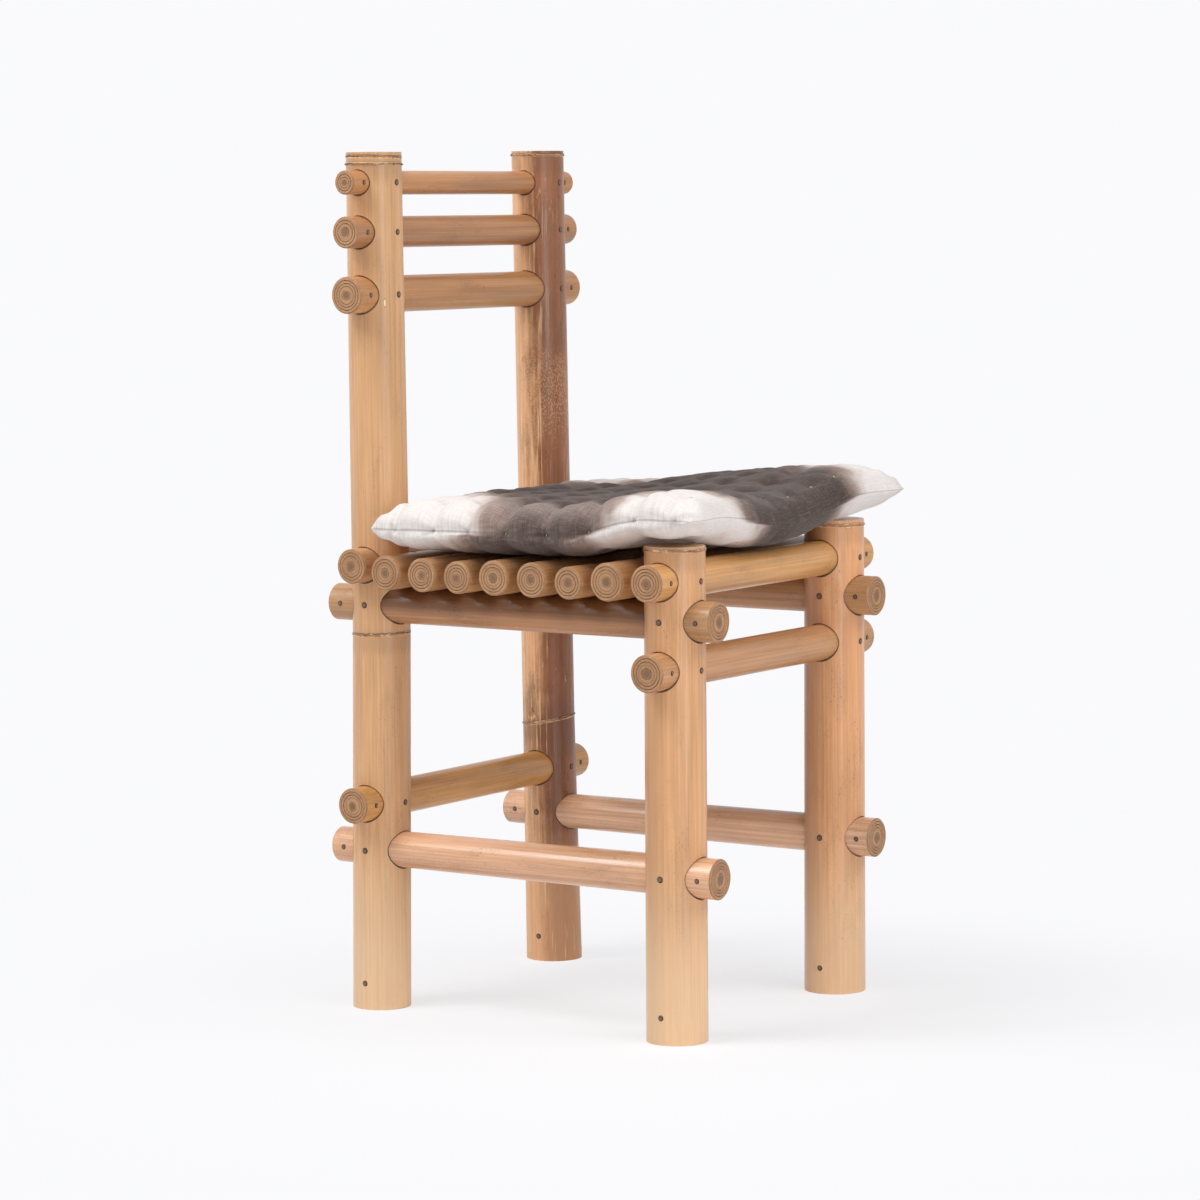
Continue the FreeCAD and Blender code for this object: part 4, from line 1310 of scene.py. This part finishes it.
# Noises of the cloth: the features per metre across and along it and between its layers, and the detail.
BLEED = ((14.0, 14.0, 1.0), 3.0)
CREEP = ((65.0, 65.0, 1.0), 4.0)
WARP = ((1150.0, 90.0, 1.0), 2.0)
WEFT = ((90.0, 1150.0, 1.0), 2.0)
PLEAT = ((22.0, 300.0, 1.0), 1.0)
WEAVE = (0.9, 0.9)
WEAVE_DEPTH = (0.25, 0.75, 1.0, 0.0)
WEAVE_SHADE = (0.1, 0.9, 0.13, 0.45)
# Glints of the weave: painted highlights, in the faded dye's colour.
GLINTS = (0.45, 0.95, 0.0, 0.22)
GLINTING = (0.4, 0.9)
PLEAT_REACH = 17 * MM
PLEAT_HEIGHT = 2.2
PLEAT_SHADE = (0.35, 0.6, 0.10, 0.0)
SEAM_LINE = (0.0, 0.1 * MM, 0.4 * MM, 0.35)
# Painted shade in the hollow of each stitch.
STITCH_SHADOW_SPREAD = (0.45, 1.0, 0.0, 0.6)
LINEN_RELIEF = (0.4 * MM, 0.8)


def dyed(shader, quilt, bleed):
    """How much of the dye the cloth has taken: 0 in the pale patches and 1 in the ground."""
    creep = shader.noise(quilt, *CREEP)
    layer = shader.dot(quilt, UP)
    dye = 1.0
    for middle, (across, down), soft, under in PALE_PATCHES:
        away = shader.length(shader.vector("SUBTRACT", quilt, middle), (1 / across, 1 / down, 0.0))
        away = shader.math("ADD", away, shader.math("MULTIPLY", layer, under))
        away = shader.weighted(away, *zip((bleed, creep), DYE_RAGGED))
        dye = shader.math("MULTIPLY", dye, shader.ease(away, 1.0 - soft, 1.0 + soft))
    return dye


def linen_material():
    shader = Shader("cushion_linen")
    quilt = shader.attribute("quilt", "Vector")
    bleed, warp, weft, pleat = shader.noises(quilt, BLEED, WARP, WEFT, PLEAT)
    dye = dyed(shader, quilt, bleed)
    weave = shader.weighted(0.5, *zip((warp, weft), WEAVE))
    across = shader.dot(quilt, (1, 0, 0))
    from_seam = shader.attribute("edge")
    near_seam = shader.ease(shader.math("ABSOLUTE", across), HALF_WIDTH - PLEAT_REACH, HALF_WIDTH)
    # The ground holds the taupe dye, its deeper patches and the painted light on the near side.
    ground = shader.coated(
        TAUPE,
        ((bleed, TAUPE_TO_DEEP), DEEP_TAUPE),
        ((from_seam, OFF_SEAM), (across, NEAR_EDGE), LIT_SIDE_TAUPE))
    colour = shader.coated(
        CREAM,
        ((dye, CREAM_TO_FADED), FADED),
        ((dye, FADED_TO_TAUPE), ground),
        ((weave, WEAVE_DEPTH), (dye, WEAVE_SHADE), SHADED_TAUPE),
        ((weave, GLINTS), (dye, GLINTING), FADED),
        ((pleat, PLEAT_SHADE), near_seam, SHADED_TAUPE),
        (shader.line(from_seam, *SEAM_LINE), TAUPE),
        ((shader.attribute("stitch"), STITCH_SHADOW_SPREAD), STITCH_SHADOW_TAUPE))
    gather = shader.math("MULTIPLY", shader.math("MULTIPLY", pleat, near_seam), PLEAT_HEIGHT)
    shader.bump(shader.math("ADD", weave, gather), *LINEN_RELIEF)
    return shader.finish(Base_Color=colour, Roughness=0.92, Specular_IOR_Level=0.2,
                         Sheen_Weight=0.2, Sheen_Roughness=0.5)


def add_cushion():
    """The pad, and the places and slopes of its stitches on the top and along the seam."""
    quilt = Quilt()
    points, faces, attributes, stitched, held = cushion_mesh(quilt)
    piece = add_piece("cushion_quilted", points, faces, attributes)
    points = inflate(piece, held)
    points = settled(gathered(ironed(points, quilt), quilt))
    piece.data.vertices.foreach_set("co", points.ravel())
    piece.data.update()
    piece.data.materials.append(linen_material())
    smooth = piece.modifiers.new("smooth", "SUBSURF")
    smooth.levels = 1
    smooth.render_levels = 1
    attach(piece, "cushion")
    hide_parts("cushion_cover", "cushion_filling")
    shown = piece.evaluated_get(bpy.context.evaluated_depsgraph_get()).data
    stitches = [shown.vertices[int(index)] for index in stitched]
    return [(vertex.co.copy(), vertex.normal.copy()) for vertex in stitches]


# Stitches: short threads in the tufts and the pinches

STITCH_SEED = 11
THREAD_SIDES = 6
THREAD_RADIUS = 0.40 * MM
THREAD_HALF = 1.6 * MM
THREAD_BOW = 0.9
THREAD_RINGS = ((-1.0, 0.35), (-0.8, 0.9), (0.0, 1.0), (0.8, 0.9), (1.0, 0.35))
THREAD_TWIST = ((1500.0,) * 3, 2.0)
THREAD_DARK = tone(206, 198, 190)
THREAD_PALE = tone(240, 236, 230)
THREAD_RELIEF = (0.2 * MM, 0.6)


def thread_rings(place, normal, chance):
    """Rings of points along a short thread that bows over the cloth at a stitch."""
    side = normal.cross(compass(chance.uniform(0, 360))).normalized()
    across = normal.cross(side)
    rings = []
    for share, thick in THREAD_RINGS:
        middle = place + side * share * THREAD_HALF + normal * THREAD_RADIUS * (THREAD_BOW - share * share)
        spokes = [across * math.cos(angle) + normal * math.sin(angle) for angle in ring_angles(THREAD_SIDES)]
        rings.append([middle + spoke * thick * THREAD_RADIUS for spoke in spokes])
    return rings


def thread_material():
    shader = Shader("stitch_thread")
    twist = shader.noise(shader.position, *THREAD_TWIST)
    shader.bump(twist, *THREAD_RELIEF)
    return shader.finish(Base_Color=shader.mix(twist, THREAD_DARK, THREAD_PALE), Roughness=0.85)


def add_stitches(stitches):
    chance = random.Random(STITCH_SEED)
    shell = Shell()
    for place, normal in stitches:
        first, last = shell.add_rings(thread_rings(place, normal, chance))
        shell.add_lid(reversed(first))
        shell.add_lid(last)
    piece = add_piece("cushion_stitches", shell.points, shell.faces)
    piece.data.materials.append(thread_material())
    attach(piece, "cushion")


add_stitches(add_cushion())


# Stage: a pale floor that fades into the background, and soft studio light

BACKGROUND = tone(250, 250, 252)
FLOOR_TONE = (0.94, 0.94, 0.95, 1.0)
FLOOR_REACH = 6.0
FADE_CENTRE = (-0.10, -0.16, 0.0)
FLOOR_FADE = (0.1, 0.8, 0.65, 1.0)
WORLD_TINT = (0.97, 0.98, 1.0, 1.0)
WORLD_FILL = 0.2
# Each light: its turn to the right of the camera's side and its rise, in degrees, how far off it is,
# its width, its height and its radiance.
SOFTBOXES = {
    "softbox_left": (-64, 52, 2.4, 1.2, 1.1, 8.8),
    "strip_left": (-72, 32, 2.4, 0.4, 0.6, 8.0),
    "softbox_front": (12, 62, 2.4, 1.2, 1.2, 1.0),
    "softbox_right": (62, 42, 2.4, 1.5, 1.4, 3.6),
    "strip_right": (30, 8, 2.2, 0.6, 1.6, 3.4),
}
TOWARDS_CAMERA = Vector((CAMERA_BACK.x, CAMERA_BACK.y, 0.0)).normalized()


def add_floor():
    corners = [(-FLOOR_REACH, -FLOOR_REACH, 0), (FLOOR_REACH, -FLOOR_REACH, 0),
               (FLOOR_REACH, FLOOR_REACH, 0), (-FLOOR_REACH, FLOOR_REACH, 0)]
    floor = add_piece("floor", corners, [(0, 1, 2, 3)])
    shader = Shader("floor")
    shader.finish(Base_Color=FLOOR_TONE, Roughness=1.0, Specular_IOR_Level=0.0)
    fade = shader.ease(shader.vector("LENGTH", shader.away_from(FADE_CENTRE)), *FLOOR_FADE)
    glow = shader.node("Emission", {"Color": BACKGROUND, "Strength": 1.0})
    shader.glow_where(shader.math("MULTIPLY", shader.seen_directly(), fade), shader.surface, glow,
                      "Material Output")
    floor.data.materials.append(shader.material)


def add_world():
    world = bpy.data.worlds.new("studio")
    bpy.context.scene.world = world
    world.use_nodes = True
    studio = Nodes(world.node_tree)
    fill = studio.tree.nodes["Background"]
    studio.feed(fill.inputs["Color"], WORLD_TINT)
    studio.feed(fill.inputs["Strength"], WORLD_FILL)
    shown = studio.node("Background", {"Color": BACKGROUND})
    studio.glow_where(studio.seen_directly(), fill, shown, "World Output")


def add_softbox(name, turn, rise, reach, width, height, radiance):
    """An area light that faces the chair."""
    turn, rise = math.radians(turn), math.radians(rise)
    level = math.cos(turn) * TOWARDS_CAMERA + math.sin(turn) * CAMERA_RIGHT
    away = math.cos(rise) * level + Vector((0, 0, math.sin(rise)))
    data = bpy.data.lights.new(name, "AREA")
    data.shape = "RECTANGLE"
    data.size = width
    data.size_y = height
    data.energy = math.pi * radiance * width * height
    light = add_object(name, data)
    light.location = CAMERA_TARGET + reach * away
    light.rotation_euler = (-away).to_track_quat("-Z", "Y").to_euler()
    light.visible_camera = False


add_world()
add_floor()
for softbox, placing in SOFTBOXES.items():
    add_softbox(softbox, *placing)
bpy.context.scene.view_settings.view_transform = "Standard"
